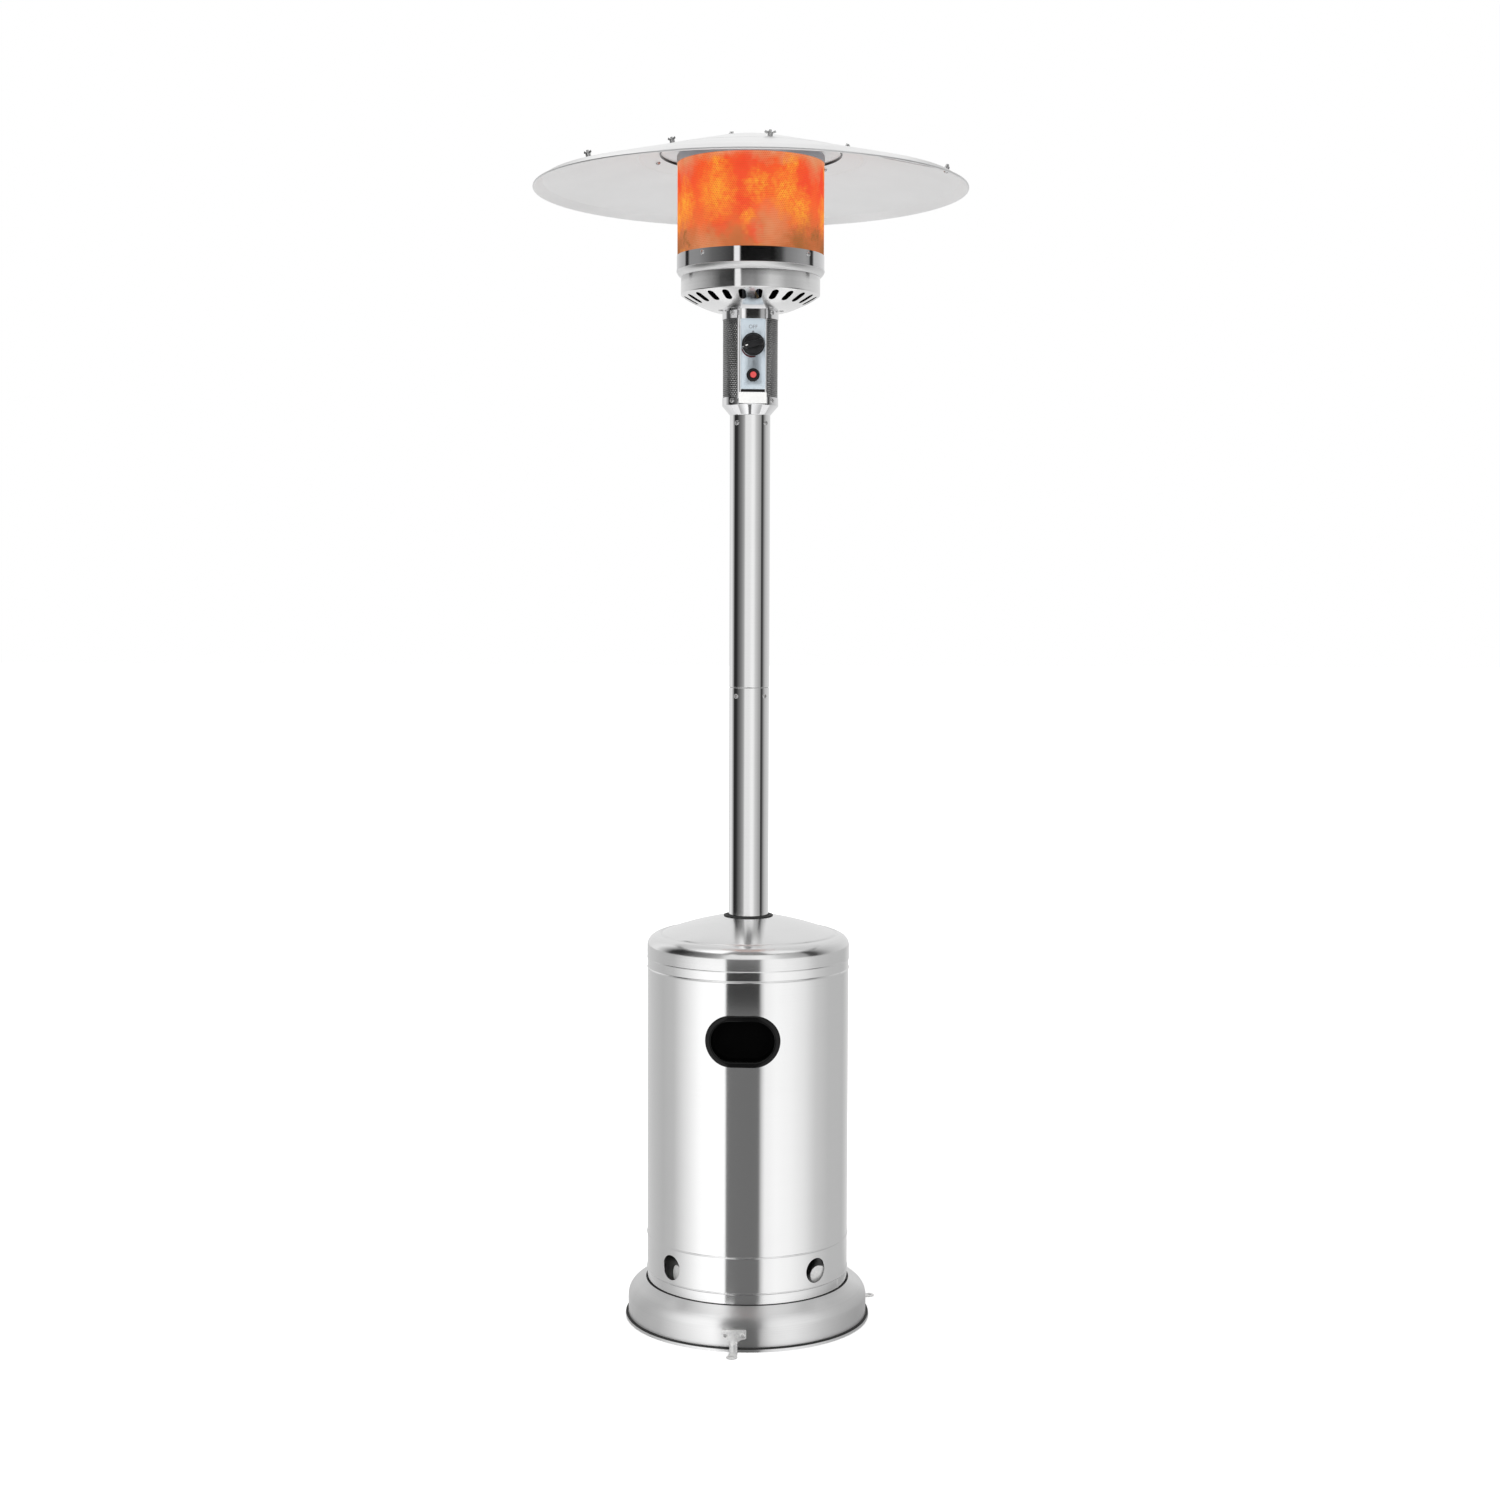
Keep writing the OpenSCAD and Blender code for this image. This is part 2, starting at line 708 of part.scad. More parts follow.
module anchor_bracket(turn) {
    plate_in = base_r + fit;
    plate_out = plate_in + anchor_t;
    tongue_out = base_r + trim_w + fit + anchor_t;
    difference() {
        union() {
            // Curved plate on the wall
            intersection() {
                translate([0, 0, anchor_plate_z]) ring(plate_out, plate_in, anchor_plate_h);
                turned(turn)
                    translate([-anchor_plate_w / 2, -2 * base_r, 0])
                        cube([anchor_plate_w, 2 * base_r, anchor_plate_z + anchor_plate_h]);
            }
            // Tongue that steps out over the trim and turns out along the ground
            turned(turn - 90)
                rotate([90, 0, 0])
                    linear_extrude(height = anchor_tongue_w, center = true)
                        polygon(tongue_outline(plate_in, tongue_out));
            turned(turn) translate([0, -anchor_pitch_r, 0]) cylinder(r = anchor_eye_r, h = anchor_t);
        }
        turned(turn)
            translate([0, -anchor_pitch_r, -past])
                cylinder(r = anchor_hole_r, h = anchor_t + 2 * past);
        at_anchor_screws(turn)
            translate([0, 0, -screw_l])
                cylinder(r = screw_hole_r, h = screw_l + past);
    }
}

// Side view of the tongue: down the wall, out over the trim, down it and out to the eye
function tongue_outline(plate_in, tongue_out) =
    let (
        step_z = trim_h + fit,
        tongue_in = tongue_out - anchor_t,
        plate_out = plate_in + anchor_t,
        side_in = plate_in + fit
    )
    [[side_in, anchor_plate_z + anchor_t], [side_in, step_z], [tongue_in, step_z],
        [tongue_in, 0], [anchor_pitch_r, 0], [anchor_pitch_r, anchor_t], [tongue_out, anchor_t],
        [tongue_out, step_z + anchor_t], [plate_out, step_z + 2 * anchor_t],
        [plate_out, anchor_plate_z + anchor_t]];

module anchor_bracket_front() { color("silver") anchor_bracket(anchor_direction(0)); }

module anchor_bracket_right() { color("silver") anchor_bracket(anchor_direction(1)); }

module anchor_bracket_left() { color("silver") anchor_bracket(anchor_direction(2)); }

module anchor_screws() {
    color("gray")
        for (i = [0 : 2])
            at_anchor_screws(anchor_direction(i))
                translate([0, 0, fit])
                    pan_screw(screw_l);
}

// Support legs

module at_foot_bolts() {
    for (a = leg_turns)
        turned(a) translate([0, -(leg_r - leg_foot / 2), floor_z]) children();
}

module foot_bolt_holes() {
    at_foot_bolts()
        translate([0, 0, -base_sheet - past])
            cylinder(r = bolt_hole_r, h = base_sheet + leg_t + 2 * past);
}

leg_bolt_steps = [0.25, 0.75];

module at_post_bolts() {
    for (a = leg_turns)
        for (step = leg_bolt_steps)
            turned(a) facing(post_r + fit + leg_t, leg_tab_z + leg_tab_l * step) children();
}

module post_bolt_holes() {
    at_post_bolts()
        translate([0, 0, -leg_t - post_wall - bolt_end - past])
            cylinder(r = bolt_hole_r, h = leg_t + post_wall + bolt_end + 2 * past);
}

module support_leg(turn) {
    tab_r = post_r + fit + leg_t;
    side = [[leg_r - leg_foot, floor_z], [leg_r, floor_z], [leg_r, leg_bend_z],
        [tab_r, leg_tab_z], [tab_r, leg_tab_z + leg_tab_l]];
    color("gray")
        difference() {
            turned(turn - 90)
                rotate([90, 0, 0])
                    linear_extrude(height = leg_w, center = true)
                        polygon(sheet(side, leg_t));
            foot_bolt_holes();
            post_bolt_holes();
        }
}

module support_leg_right() { support_leg(leg_turns[0]); }

module support_leg_left() { support_leg(leg_turns[1]); }

module support_leg_rear() { support_leg(leg_turns[2]); }

module leg_foot_bolts() {
    color("darkgray")
        at_foot_bolts()
            translate([0, 0, leg_t])
                hex_bolt(leg_t + base_sheet + 2 * bolt_end);
}

module leg_post_bolts() {
    color("darkgray")
        at_post_bolts()
            hex_bolt(leg_t + post_wall + bolt_end);
}

// Tank housing

module housing_shell() {
    wall = concat(
        [[housing_r, housing_z]],
        bead(housing_r, housing_z + bead_low),
        bead(housing_r, housing_z + bead_second),
        bead(housing_r, shoulder_z - bead_under),
        bead(housing_r, shoulder_z - bead_upper),
        [[housing_r, shoulder_z]]
    );
    color("silver")
        turned(housing_turn)
            difference() {
                round_sheet(wall, housing_sheet);
                for (i = [0 : vent_count - 1])
                    turned(180 / vent_count + i * 360 / vent_count)
                        facing(0, housing_z + vent_h)
                            cylinder(r = vent_r, h = housing_r + past);
                facing(0, handle_z)
                    linear_extrude(height = housing_r + past)
                        stadium(handle_w + 2 * (pocket_wall + fit), handle_open_h + 2 * (pocket_wall + fit));
            }
}

module housing_top() {
    shoulder = [cap_shoulder_w, cap_crease_h];
    shoulder_foot = [cap_crease_r, shoulder_z + fit];
    skirt_to_hole = concat(
        [[cap_r, shoulder_z - cap_lap]],
        [for (a = [0 : 15 : 75]) shoulder_foot + [shoulder[0] * cos(a), shoulder[1] * sin(a)]],
        [[cap_crease_r, shoulder_z + cap_crease_h + fit], [cap_hole_r, cap_top_z]]
    );
    color("silver")
        turned(housing_turn)
            round_sheet(skirt_to_hole, cap_sheet);
}

module post_grommet() {
    groove_r = cap_hole_r - cap_sheet / 2 - fit;
    rise = (cap_top_z - shoulder_z - cap_crease_h) / (cap_crease_r - groove_r);
    groove_low = cap_top_z - cap_sheet * sqrt(1 + rise * rise) - rise * (grommet_r - cap_hole_r) - fit;
    groove_high = cap_top_z + fit;
    color([0.15, 0.15, 0.15])
        rotate_extrude()
            polygon([
                [grommet_in_r, groove_low - grommet_h / 2],
                [grommet_in_r + grommet_w / 3, groove_low - grommet_h],
                [grommet_r, groove_low - grommet_h], [grommet_r, groove_low],
                [groove_r, groove_low], [groove_r, groove_high],
                [grommet_r, groove_high], [grommet_r, groove_high + grommet_h / 2],
                [grommet_r - grommet_w / 3, groove_high + grommet_h],
                [grommet_in_r + grommet_w / 3, groove_high + grommet_h],
                [grommet_in_r, groove_high + grommet_h / 2]
            ]);
}

module handle_cup() {
    pocket_w = handle_w + 2 * pocket_wall;
    pocket_h = handle_open_h + 2 * pocket_wall;
    back_d = housing_r - housing_sheet - pocket_d;
    color([0.09, 0.09, 0.09])
        turned(housing_turn)
            difference() {
                union() {
                    // Bezel on the outside of the wall
                    intersection() {
                        translate([0, 0, handle_z - handle_open_h])
                            ring(housing_r + fit + bezel_t, housing_r + fit, 2 * handle_open_h);
                        facing(0, handle_z)
                            linear_extrude(height = 2 * housing_r)
                                stadium(handle_w + 2 * bezel_w, handle_open_h + 2 * bezel_w);
                    }
                    // Pocket behind it
                    intersection() {
                        translate([0, 0, handle_z - handle_open_h])
                            cylinder(r = housing_r + fit + bezel_t / 2, h = 2 * handle_open_h);
                        facing(back_d, handle_z)
                            linear_extrude(height = housing_r)
                                stadium(pocket_w, pocket_h);
                    }
                }
                facing(back_d + pocket_wall, handle_z)
                    linear_extrude(height = housing_r)
                        stadium(handle_w, handle_open_h);
            }
}

// Post

module at_post_screws(z) {
    for (a = corner_turns)
        turned(head_turn + a) facing(post_r, z - post_screw_drop) children();
}

module post_screw_holes(z) {
    at_post_screws(z)
        translate([0, 0, -screw_l - past])
            cylinder(r = screw_hole_r, h = screw_l + 2 * past);
}

module lower_post() {
    color("silver")
        difference() {
            translate([0, 0, post_foot_z]) ring(post_r, post_in_r, lower_post_l);
            post_screw_holes(post_seam_z);
            post_bolt_holes();
        }
}

module upper_post() {
    swage = [[swage_r, post_seam_z - swage_l], [swage_r, post_seam_z + fit],
        [post_r, post_seam_z + fit], [post_r, post_top_z],
        [post_in_r, post_top_z], [post_in_r, post_seam_z + fit + post_wall],
        [swage_r - post_wall, post_seam_z + fit + post_wall], [swage_r - post_wall, post_seam_z - swage_l]];
    color("silver")
        difference() {
            rotate_extrude() polygon(swage);
            post_screw_holes(post_seam_z);
            post_screw_holes(post_top_z);
        }
}

module post_screws() {
    color("gray") {
        at_post_screws(post_seam_z) pan_screw(screw_l);
        at_post_screws(post_top_z) pan_screw(screw_l);
    }
}

// Neck

module at_neck_screws() {
    for (z = [ring_z + ring_h / 2, top_ring_z + top_ring_h / 2 - fit])
        for (a = corner_turns)
            turned(head_turn + a) facing(neck_r, z) children();
}

module neck_screw_holes() {
    at_neck_screws()
        translate([0, 0, -screw_l - past])
            cylinder(r = screw_hole_r, h = screw_l + 2 * past);
}

module neck_cup() {
    spigot_to_ring = [[swage_r, post_top_z - spigot_l], [swage_r, post_top_z + fit],
        [post_r, post_top_z + fit], [neck_r, ring_z], [neck_r, screen_z]];
    color("silver")
        difference() {
            round_sheet(spigot_to_ring, neck_sheet);
            post_screw_holes(post_top_z);
            neck_screw_holes();
        }
}

module neck_screen() {
    window_w = 2 * (bonnet_r + window_gap);
    color("dimgray")
        difference() {
            translate([0, 0, screen_z - screen_lap])
                ring(screen_r, screen_r - neck_sheet, screen_h + 2 * screen_lap);
            turned(head_turn)
                translate([-window_w / 2, -neck_r, screen_z])
                    cube([window_w, neck_r, screen_h]);
            neck_screw_holes();
        }
}

module neck_top_ring() {
    band_to_flange = [[neck_r, top_ring_z], [neck_r, bowl_z + bowl_sheet + fit],
        [flange_r, bowl_z + bowl_sheet + fit]];
    color("silver")
        difference() {
            round_sheet(band_to_flange, neck_sheet);
            neck_screw_holes();
            bowl_screw_holes();
        }
}

module neck_screws() {
    color("gray") at_neck_screws() pan_screw(screw_l);
}

// Control panel

module panel_channel() {
    low_z = ring_z + past;
    high_z = bowl_z - past;
    open_h = high_z - low_z;
    back_d = sqrt(pow(neck_r + fit, 2) - pow(panel_back_w / 2, 2)) - past;
    folded = [[-panel_back_w / 2, -back_d], [-panel_w / 2, -panel_d],
        [panel_w / 2, -panel_d], [panel_back_w / 2, -back_d]];
    color("gainsboro")
        turned(head_turn)
            difference() {
                union() {
                    translate([0, 0, low_z])
                        linear_extrude(height = open_h)
                            polygon(sheet(folded, panel_sheet));
                    // Closed ends
                    for (z = [low_z, high_z - panel_sheet])
                        translate([0, 0, z]) linear_extrude(height = panel_sheet) polygon(folded);
                }
                cylinder(r = neck_r + fit, h = 2 * bowl_z);
                facing(0, knob_z) cylinder(r = stem_r + stem_way, h = 2 * panel_d);
                facing(0, igniter_z) cylinder(r = igniter_r + fit, h = 2 * panel_d);
                // Slot under the plate
                facing(panel_d - 2 * panel_sheet, ring_z + plate_z - slot_h / 2 - fit)
                    linear_extrude(height = 4 * panel_sheet) stadium(plate_w, slot_h);
            }
}

module control_plate() {
    middle_z = ring_z + plate_z + plate_h / 2;
    color([0.86, 0.91, 0.94])
        turned(head_turn)
            difference() {
                facing(panel_d, middle_z) {
                    linear_extrude(height = plate_t) square([plate_w, plate_h], center = true);
                    linear_extrude(height = plate_t + plate_rise)
                        difference() {
                            square([plate_w, plate_h], center = true);
                            square([plate_w - 2 * plate_border, plate_h - 2 * plate_border], center = true);
                        }
                }
                facing(0, knob_z) cylinder(r = stem_r + stem_way, h = 2 * panel_d);
                facing(0, igniter_z) cylinder(r = igniter_r + fit, h = 2 * panel_d);
            }
}

// Knob, stem and gas valve

stem_in = valve_d - plug_l + stem_back;
stem_out = plate_front + knob_gap + knob_skirt + knob_crown_h;

// Round bar with one flat, which the plug drives
module keyed_bar(r, h, flat) {
    intersection() {
        cylinder(r = r, h = h);
        translate([-2 * r, -2 * r, 0]) cube([4 * r, 2 * r + flat, h]);
    }
}

module control_knob() {
    color([0.08, 0.08, 0.08])
        turned(head_turn)
            difference() {
                facing(plate_front + knob_gap, knob_z)
                    rotate([0, 0, knob_rest]) {
                        cylinder(r = knob_r, h = knob_skirt);
                        cylinder(r = knob_crown_r, h = knob_skirt + knob_crown_h);
                        intersection() {
                            cylinder(r = knob_crown_r, h = knob_skirt + knob_crown_h + knob_bar_h);
                            translate([-knob_bar_w / 2, -knob_r, 0])
                                cube([knob_bar_w, 2 * knob_r, knob_skirt + knob_crown_h + knob_bar_h]);
                        }
                    }
                facing(stem_in, knob_z)
                    rotate([0, 0, knob_rest])
                        keyed_bar(stem_r + fit, stem_out - stem_in + fit, stem_flat + fit);
            }
}

module knob_stem() {
    color("darkgray")
        turned(head_turn)
            facing(stem_in, knob_z)
                rotate([0, 0, knob_rest])
                    keyed_bar(stem_r, stem_out - stem_in, stem_flat);
}

module valve_plug() {
    color("goldenrod")
        turned(head_turn)
            facing(valve_d - plug_l, knob_z)
                rotate([0, 0, knob_rest])
                    difference() {
                        cylinder(r = plug_r - running_gap, h = plug_l - seat_gap);
                        translate([0, 0, -past])
                            keyed_bar(stem_r + running_gap, plug_l + 2 * past, stem_flat + running_gap);
                    }
}

module valve_bonnet() {
    color("goldenrod")
        turned(head_turn)
            facing(valve_d, knob_z)
                ring(bonnet_r, stem_r + screw_gap, panel_d - panel_sheet - valve_d);
}

module gas_valve_body() {
    back_d = valve_d - valve_depth;
    pipe_wall = pipe_r + valve_wall;
    color("darkkhaki")
        turned(head_turn)
            difference() {
                union() {
                    translate([-valve_w / 2, -valve_d, knob_z - valve_h / 2])
                        cube([valve_w, valve_depth, valve_h]);
                    // Arm to the outlet on the upright axis
                    translate([-pipe_wall, -back_d, knob_z])
                        cube([2 * pipe_wall, back_d + pipe_wall, valve_h / 2]);
                }
                facing(valve_d - plug_l - seat_gap, knob_z)
                    cylinder(r = plug_r, h = plug_l + seat_gap + past);
                // Gas ways in, through and out
                translate([0, -inlet_d, knob_z - valve_h / 2 - past])
                    cylinder(r = gas_bore_r, h = valve_h / 2 + past);
                facing(-gas_bore_r, knob_z + valve_h / 4) cylinder(r = gas_bore_r, h = inlet_d);
                translate([0, 0, knob_z + valve_h / 4]) cylinder(r = gas_bore_r, h = valve_h / 4 + past);
            }
}

inlet_d = valve_d - valve_depth + inlet_r + valve_wall;

module gas_inlet_fitting() {
    color("goldenrod")
        turned(head_turn)
            translate([0, -inlet_d, knob_z - valve_h / 2 - inlet_l])
                difference() {
                    union() {
                        cylinder(r = inlet_r, h = inlet_l);
                        translate([0, 0, inlet_l - inlet_hex_h])
                            cylinder(r = inlet_r + inlet_hex_w, h = inlet_hex_h, $fn = 6);
                    }
                    translate([0, 0, -past]) cylinder(r = gas_bore_r, h = inlet_l + 2 * past);
                }
}

module tilt_switch() {
    color([0.2, 0.2, 0.2])
        turned(head_turn)
            translate([valve_w / 2, -valve_d + switch_back, knob_z - switch_h / 2])
                cube([switch_w, switch_depth, switch_h]);
}

// Igniter

module igniter_body() {
    depth = button_l - button_out + seat_gap + button_room;
    color([0.1, 0.1, 0.1])
        turned(head_turn)
            difference() {
                union() {
                    facing(plate_front, igniter_z) cylinder(r = igniter_bezel_r, h = igniter_bezel_t);
                    facing(panel_d - igniter_l, igniter_z)
                        cylinder(r = igniter_r, h = igniter_l + plate_t + fit);
                }
                facing(plate_front + igniter_bezel_t - depth, igniter_z)
                    cylinder(r = button_r + running_gap, h = depth + past);
            }
}

module igniter_nut() {
    color("gray")
        turned(head_turn)
            facing(panel_d - panel_sheet - igniter_nut_h, igniter_z)
                difference() {
                    cylinder(r = igniter_r + igniter_nut_w, h = igniter_nut_h, $fn = 6);
                    translate([0, 0, -past]) cylinder(r = igniter_r + fit, h = igniter_nut_h + 2 * past);
                }
}

module igniter_button() {
    color([0.82, 0.16, 0.14])
        turned(head_turn)
            facing(plate_front + igniter_bezel_t + button_out - button_l, igniter_z)
                cylinder(r = button_r, h = button_l);
}

// Gas pipe, mixer and burner

mixer_low_z = deck_z - mixer_l;
burner_z = deck_top_z + burner_rise;
orifice_z = mixer_low_z + orifice_in - orifice_h;

module gas_pipe() {
    low_z = knob_z + valve_h / 2;
    color("peru")
        translate([0, 0, low_z]) ring(pipe_r, gas_bore_r, orifice_z - low_z);
}

module orifice_nozzle() {
    color("goldenrod")
        translate([0, 0, orifice_z])
            difference() {
                union() {
                    cylinder(r = orifice_r, h = orifice_hex_h, $fn = 6);
                    cylinder(r = pipe_r, h = orifice_h);
                }
                translate([0, 0, -past]) cylinder(r = gas_bore_r, h = orifice_h - jet_l + past);
                cylinder(r = jet_r, h = orifice_h + past);
            }
}

module mixer_tube() {
    color("gray")
        difference() {
            union() {
                translate([0, 0, mixer_low_z]) cylinder(r = mixer_r, h = burner_z - mixer_low_z);
                translate([0, 0, deck_top_z]) cylinder(r = mixer_r + mixer_flange_w, h = mixer_flange_t);
            }
            translate([0, 0, mixer_low_z - past])
                cylinder(r = mixer_r - mixer_wall, h = burner_z - mixer_low_z + 2 * past);
        }
}

module burner() {
    color("gray")
        translate([0, 0, burner_z])
            difference() {
                cylinder(r = burner_r, h = burner_h);
                translate([0, 0, burner_wall])
                    cylinder(r = burner_r - burner_wall, h = burner_h - 2 * burner_wall);
                translate([0, 0, -past]) cylinder(r = mixer_r - mixer_wall, h = burner_wall + 2 * past);
                for (i = [0 : port_count - 1])
                    turned(i * 360 / port_count)
                        translate([0, port_edge - burner_r, burner_h - burner_wall - past])
                            cylinder(r = port_r, h = burner_wall + 2 * past);
            }
}

module burner_deck() {
    color("gray")
        difference() {
            translate([0, 0, deck_z]) cylinder(r = emitter_r, h = band_sheet);
            translate([0, 0, deck_z - past]) cylinder(r = mixer_r + fit, h = band_sheet + 2 * past);
            turned(head_turn)
                for (i = [-1 : 1])
                    translate([i * pilot_pitch, -pilot_d, deck_z - past])
                        cylinder(r = pilot_way_r, h = band_sheet + 2 * past);
        }
}

// Pilot group

pilot_bracket_z = deck_top_z + pilot_rise;

module pilot_bracket() {
    span = 3 * pilot_pitch;
    color("silver")
        turned(head_turn)
            translate([0, -pilot_d, deck_top_z])
                difference() {
                    translate([-span / 2, -pilot_depth / 2, 0]) cube([span, pilot_depth, pilot_rise]);
                    translate([-span / 2 + pilot_sheet, -pilot_depth / 2 - past, -past])
                        cube([span - 2 * pilot_sheet, pilot_depth + 2 * past,
                            pilot_rise - pilot_sheet + past]);
                    for (i = [-1 : 1])
                        translate([i * pilot_pitch, 0, 0])
                            cylinder(r = pilot_shank_r + fit, h = 2 * pilot_rise);
                }
}

// Straight tube between two points, with a round end at each
module tube_run(a, b, r) {
    d = b - a;
    translate(a) sphere(r = r * 1.15, $fn = 32);
    translate(b) sphere(r = r * 1.15, $fn = 32);
    translate(a)
        rotate([0, acos(d[2] / norm(d)), atan2(d[1], d[0])])
            cylinder(r = r, h = norm(d), $fn = 32);
}

module pilot_burner() {
    bend_z = mixer_low_z + 14;
    foot = [valve_w / 3, -valve_d + 20, knob_z + valve_h / 2];
    knee = [foot[0], foot[1], bend_z];
    elbow = [0, -pilot_d, bend_z];
    head = [0, -pilot_d, pilot_bracket_z];
    color("goldenrod")
        turned(head_turn) {
            translate(foot) cylinder(r = pilot_tube_r, h = bend_z - foot[2], $fn = 32);
            tube_run(knee, elbow, pilot_tube_r);
            tube_run(elbow, head, pilot_tube_r);
            translate([0, -pilot_d, pilot_bracket_z - shank_l / 2]) cylinder(r = pilot_shank_r, h = shank_l);
            translate([0, -pilot_d, pilot_bracket_z + fit]) cylinder(r = hood_r, h = hood_h);
        }
}

// Shank through the bracket and the deck, from below the deck to just above the bracket
module bracket_shank() {
    translate([0, 0, -pilot_rise - shank_l])
        cylinder(r = pilot_shank_r, h = pilot_rise + shank_l + fit + past);
}

module thermocouple() {
    color("peru")
        turned(head_turn)
            translate([pilot_pitch, -pilot_d, pilot_bracket_z]) {
                bracket_shank();
                translate([0, 0, fit]) cylinder(r = collar_r, h = probe_collar_h);
                cylinder(r = probe_r, h = probe_l);
            }
}

module spark_electrode() {
    color("white")
        turned(head_turn)
            translate([-pilot_pitch, -pilot_d, pilot_bracket_z]) {
                bracket_shank();
                translate([0, 0, fit]) cylinder(r = collar_r, h = insulator_h);
                cylinder(r = spark_r, h = spark_l);
            }
}

// Burner head

bowl_screw_turns = [75, 165, 195, 285];

module at_bowl_screws() {
    for (a = bowl_screw_turns)
        turned(head_turn + a)
            translate([0, -(neck_r + flange_w / 2), bowl_z - fit])
                rotate([180, 0, 0])
                    children();
}

module bowl_screw_holes() {
    at_bowl_screws()
        translate([0, 0, -screw_l - past])
            cylinder(r = screw_hole_r, h = screw_l + 2 * past);
}

module head_bowl() {
    cone_top_z = band_z - bowl_band_h;
    floor_r = flange_r + fit;
    dish = [bowl_r - floor_r, cone_top_z - bowl_z];
    // The dish rises slowly near the neck and steeply at the band
    steps = [0.22, 0.42, 0.6, 0.76, 0.9];
    floor_to_band = concat(
        [[neck_r + fit, bowl_z], [floor_r, bowl_z]],
        [for (s = steps) [floor_r + dish[0] * s, bowl_z + dish[1] * pow(s, 1.35)]],
        [[bowl_r, cone_top_z], [bowl_r, band_z]]
    );
    slot_middle = bowl_r - air_slot_edge - air_slot_l / 2;
    color("whitesmoke")
        difference() {
            round_sheet(floor_to_band, bowl_sheet);
            bowl_screw_holes();
            for (i = [0 : slot_count - 1])
                turned(head_turn + i * 360 / slot_count)
                    translate([0, -slot_middle, bowl_z - past])
                        rotate([0, 0, 90])
                            linear_extrude(height = bowl_h - bowl_band_h)
                                stadium(air_slot_l, air_slot_w);
        }
}

module bowl_screws() {
    color("dimgray") at_bowl_screws() pan_screw(screw_l);
}

band_screw_z = band_top_z - band_screw_drop;

module at_band_screws() {
    for (a = corner_turns)
        turned(head_turn + a) facing(band_r, band_screw_z) children();
}

module band_screw_holes() {
    at_band_screws()
        translate([0, 0, -screw_l - past])
            cylinder(r = screw_hole_r, h = screw_l + 2 * past);
}

module head_band() {
    lip_r = band_r + band_lip;
    ledge_r = bowl_r - band_ledge;
    ledge_to_top = [[ledge_r, band_z], [lip_r, band_z], [lip_r, band_z + band_lip_h],
        [band_r, band_z + band_lip_h + 2 * band_lip], [band_r, band_top_z]];
    color("silver")
        difference() {
            round_sheet(ledge_to_top, band_sheet);
            band_screw_holes();
        }
}

module band_screws() {
    color("gray") at_band_screws() pan_screw(screw_l);
}

// Emitter

module emitter_screen() {
    color([0.93, 0.38, 0.18])
        difference() {
            translate([0, 0, deck_top_z])
                ring(emitter_r, emitter_r - band_sheet, emitter_top_z - band_sheet - deck_top_z);
            band_screw_holes();
        }
}

module at_studs(z) {
    for (a = stud_turns)
        turned(a) translate([0, -stud_pitch_r, z]) children();
}

module emitter_cap() {
    color("lightslategray")
        difference() {
            round_sheet([[emitter_cap_r, emitter_cap_z], [emitter_cap_r, emitter_top_z], [0, emitter_top_z]],
                band_sheet);
            at_studs(emitter_top_z - band_sheet - past) cylinder(r = bolt_hole_r, h = band_sheet + 2 * past);
        }
}

// Reflector

module reflector_studs() {
    stud_l = band_sheet + stud_gap + refl_sheet + wing_h + screw_past;
    color("gray")
        at_studs(emitter_top_z - band_sheet - fit)
            rotate([180, 0, 0])
                hex_bolt(stud_l);
}

module stud_spacers() {
    color("silver") at_studs(emitter_top_z + fit) ring(bolt_head_r, bolt_hole_r, stud_gap - 2 * fit);
}

module hub_screw_holes() {
    for (a = concat(lap_turns, mid_turns))
        turned(a) on_cone(hub_screw_r, 0)
            translate([0, 0, -screw_l])
                cylinder(r = screw_hole_r, h = screw_l + screw_head_h + past);
}

module rim_screw_holes() {
    for (a = lap_turns)
        turned(a) on_cone(rim_screw_r, 0)
            translate([0, 0, -screw_l])
                cylinder(r = screw_hole_r, h = screw_l + screw_head_h + past);
}

module reflector_hub() {
    knee_steps = [1, 0.75, 0.5, 0.25, 0];
    knee = [for (s = knee_steps) let (r = hub_flat_r + s * (hub_cone_r - hub_flat_r)) [r, refl_z(r)]];
    edge_to_middle = concat([[hub_r, refl_z(hub_r)]], knee, [[0, hub_z]]);
    color("whitesmoke")
        difference() {
            round_sheet(edge_to_middle, refl_sheet);
            hub_screw_holes();
            at_studs(hub_z - refl_sheet - past) cylinder(r = bolt_hole_r, h = refl_sheet + 2 * past);
        }
}

// One reflector panel: a cone sector with a slanted lip, a rolled edge and a lap under its neighbour
module reflector_panel(turn) {
    seam_gap = 0.2;
    joggle = 0.5;
    top_in = [panel_in_r, refl_z(panel_in_r) - under_drop];
    top_out = [cone_r, refl_z(cone_r) - under_drop];
    edge = [cone_r + refl_lip_w, top_out[1] - refl_lip_drop];
    lap_out_r = cone_r - 4 * refl_sheet;
    lap_out = [lap_out_r, refl_z(lap_out_r) - 2 * under_drop];
    lap_in = top_in - [0, under_drop];
    main_from = turn + seam_gap;
    main_to = turn + third - seam_gap;
    difference() {
        union() {
            sector(main_from, main_to) polygon(sheet([edge, top_out, top_in], refl_sheet));
            sector(main_from, main_to)
                translate(edge - [0, refl_roll_r / 2])
                    circle(r = refl_roll_r, $fn = 24);
            // Lap under the next panel, joined by a narrow step
            sector(main_to - joggle, turn + third + lap_angle)
                polygon(sheet([lap_out, lap_in], refl_sheet));
            sector(main_to - joggle, main_to)
                polygon(sheet([lap_out + [0, under_drop], top_in], layer + refl_sheet));
        }
        hub_screw_holes();
        rim_screw_holes();
    }
}

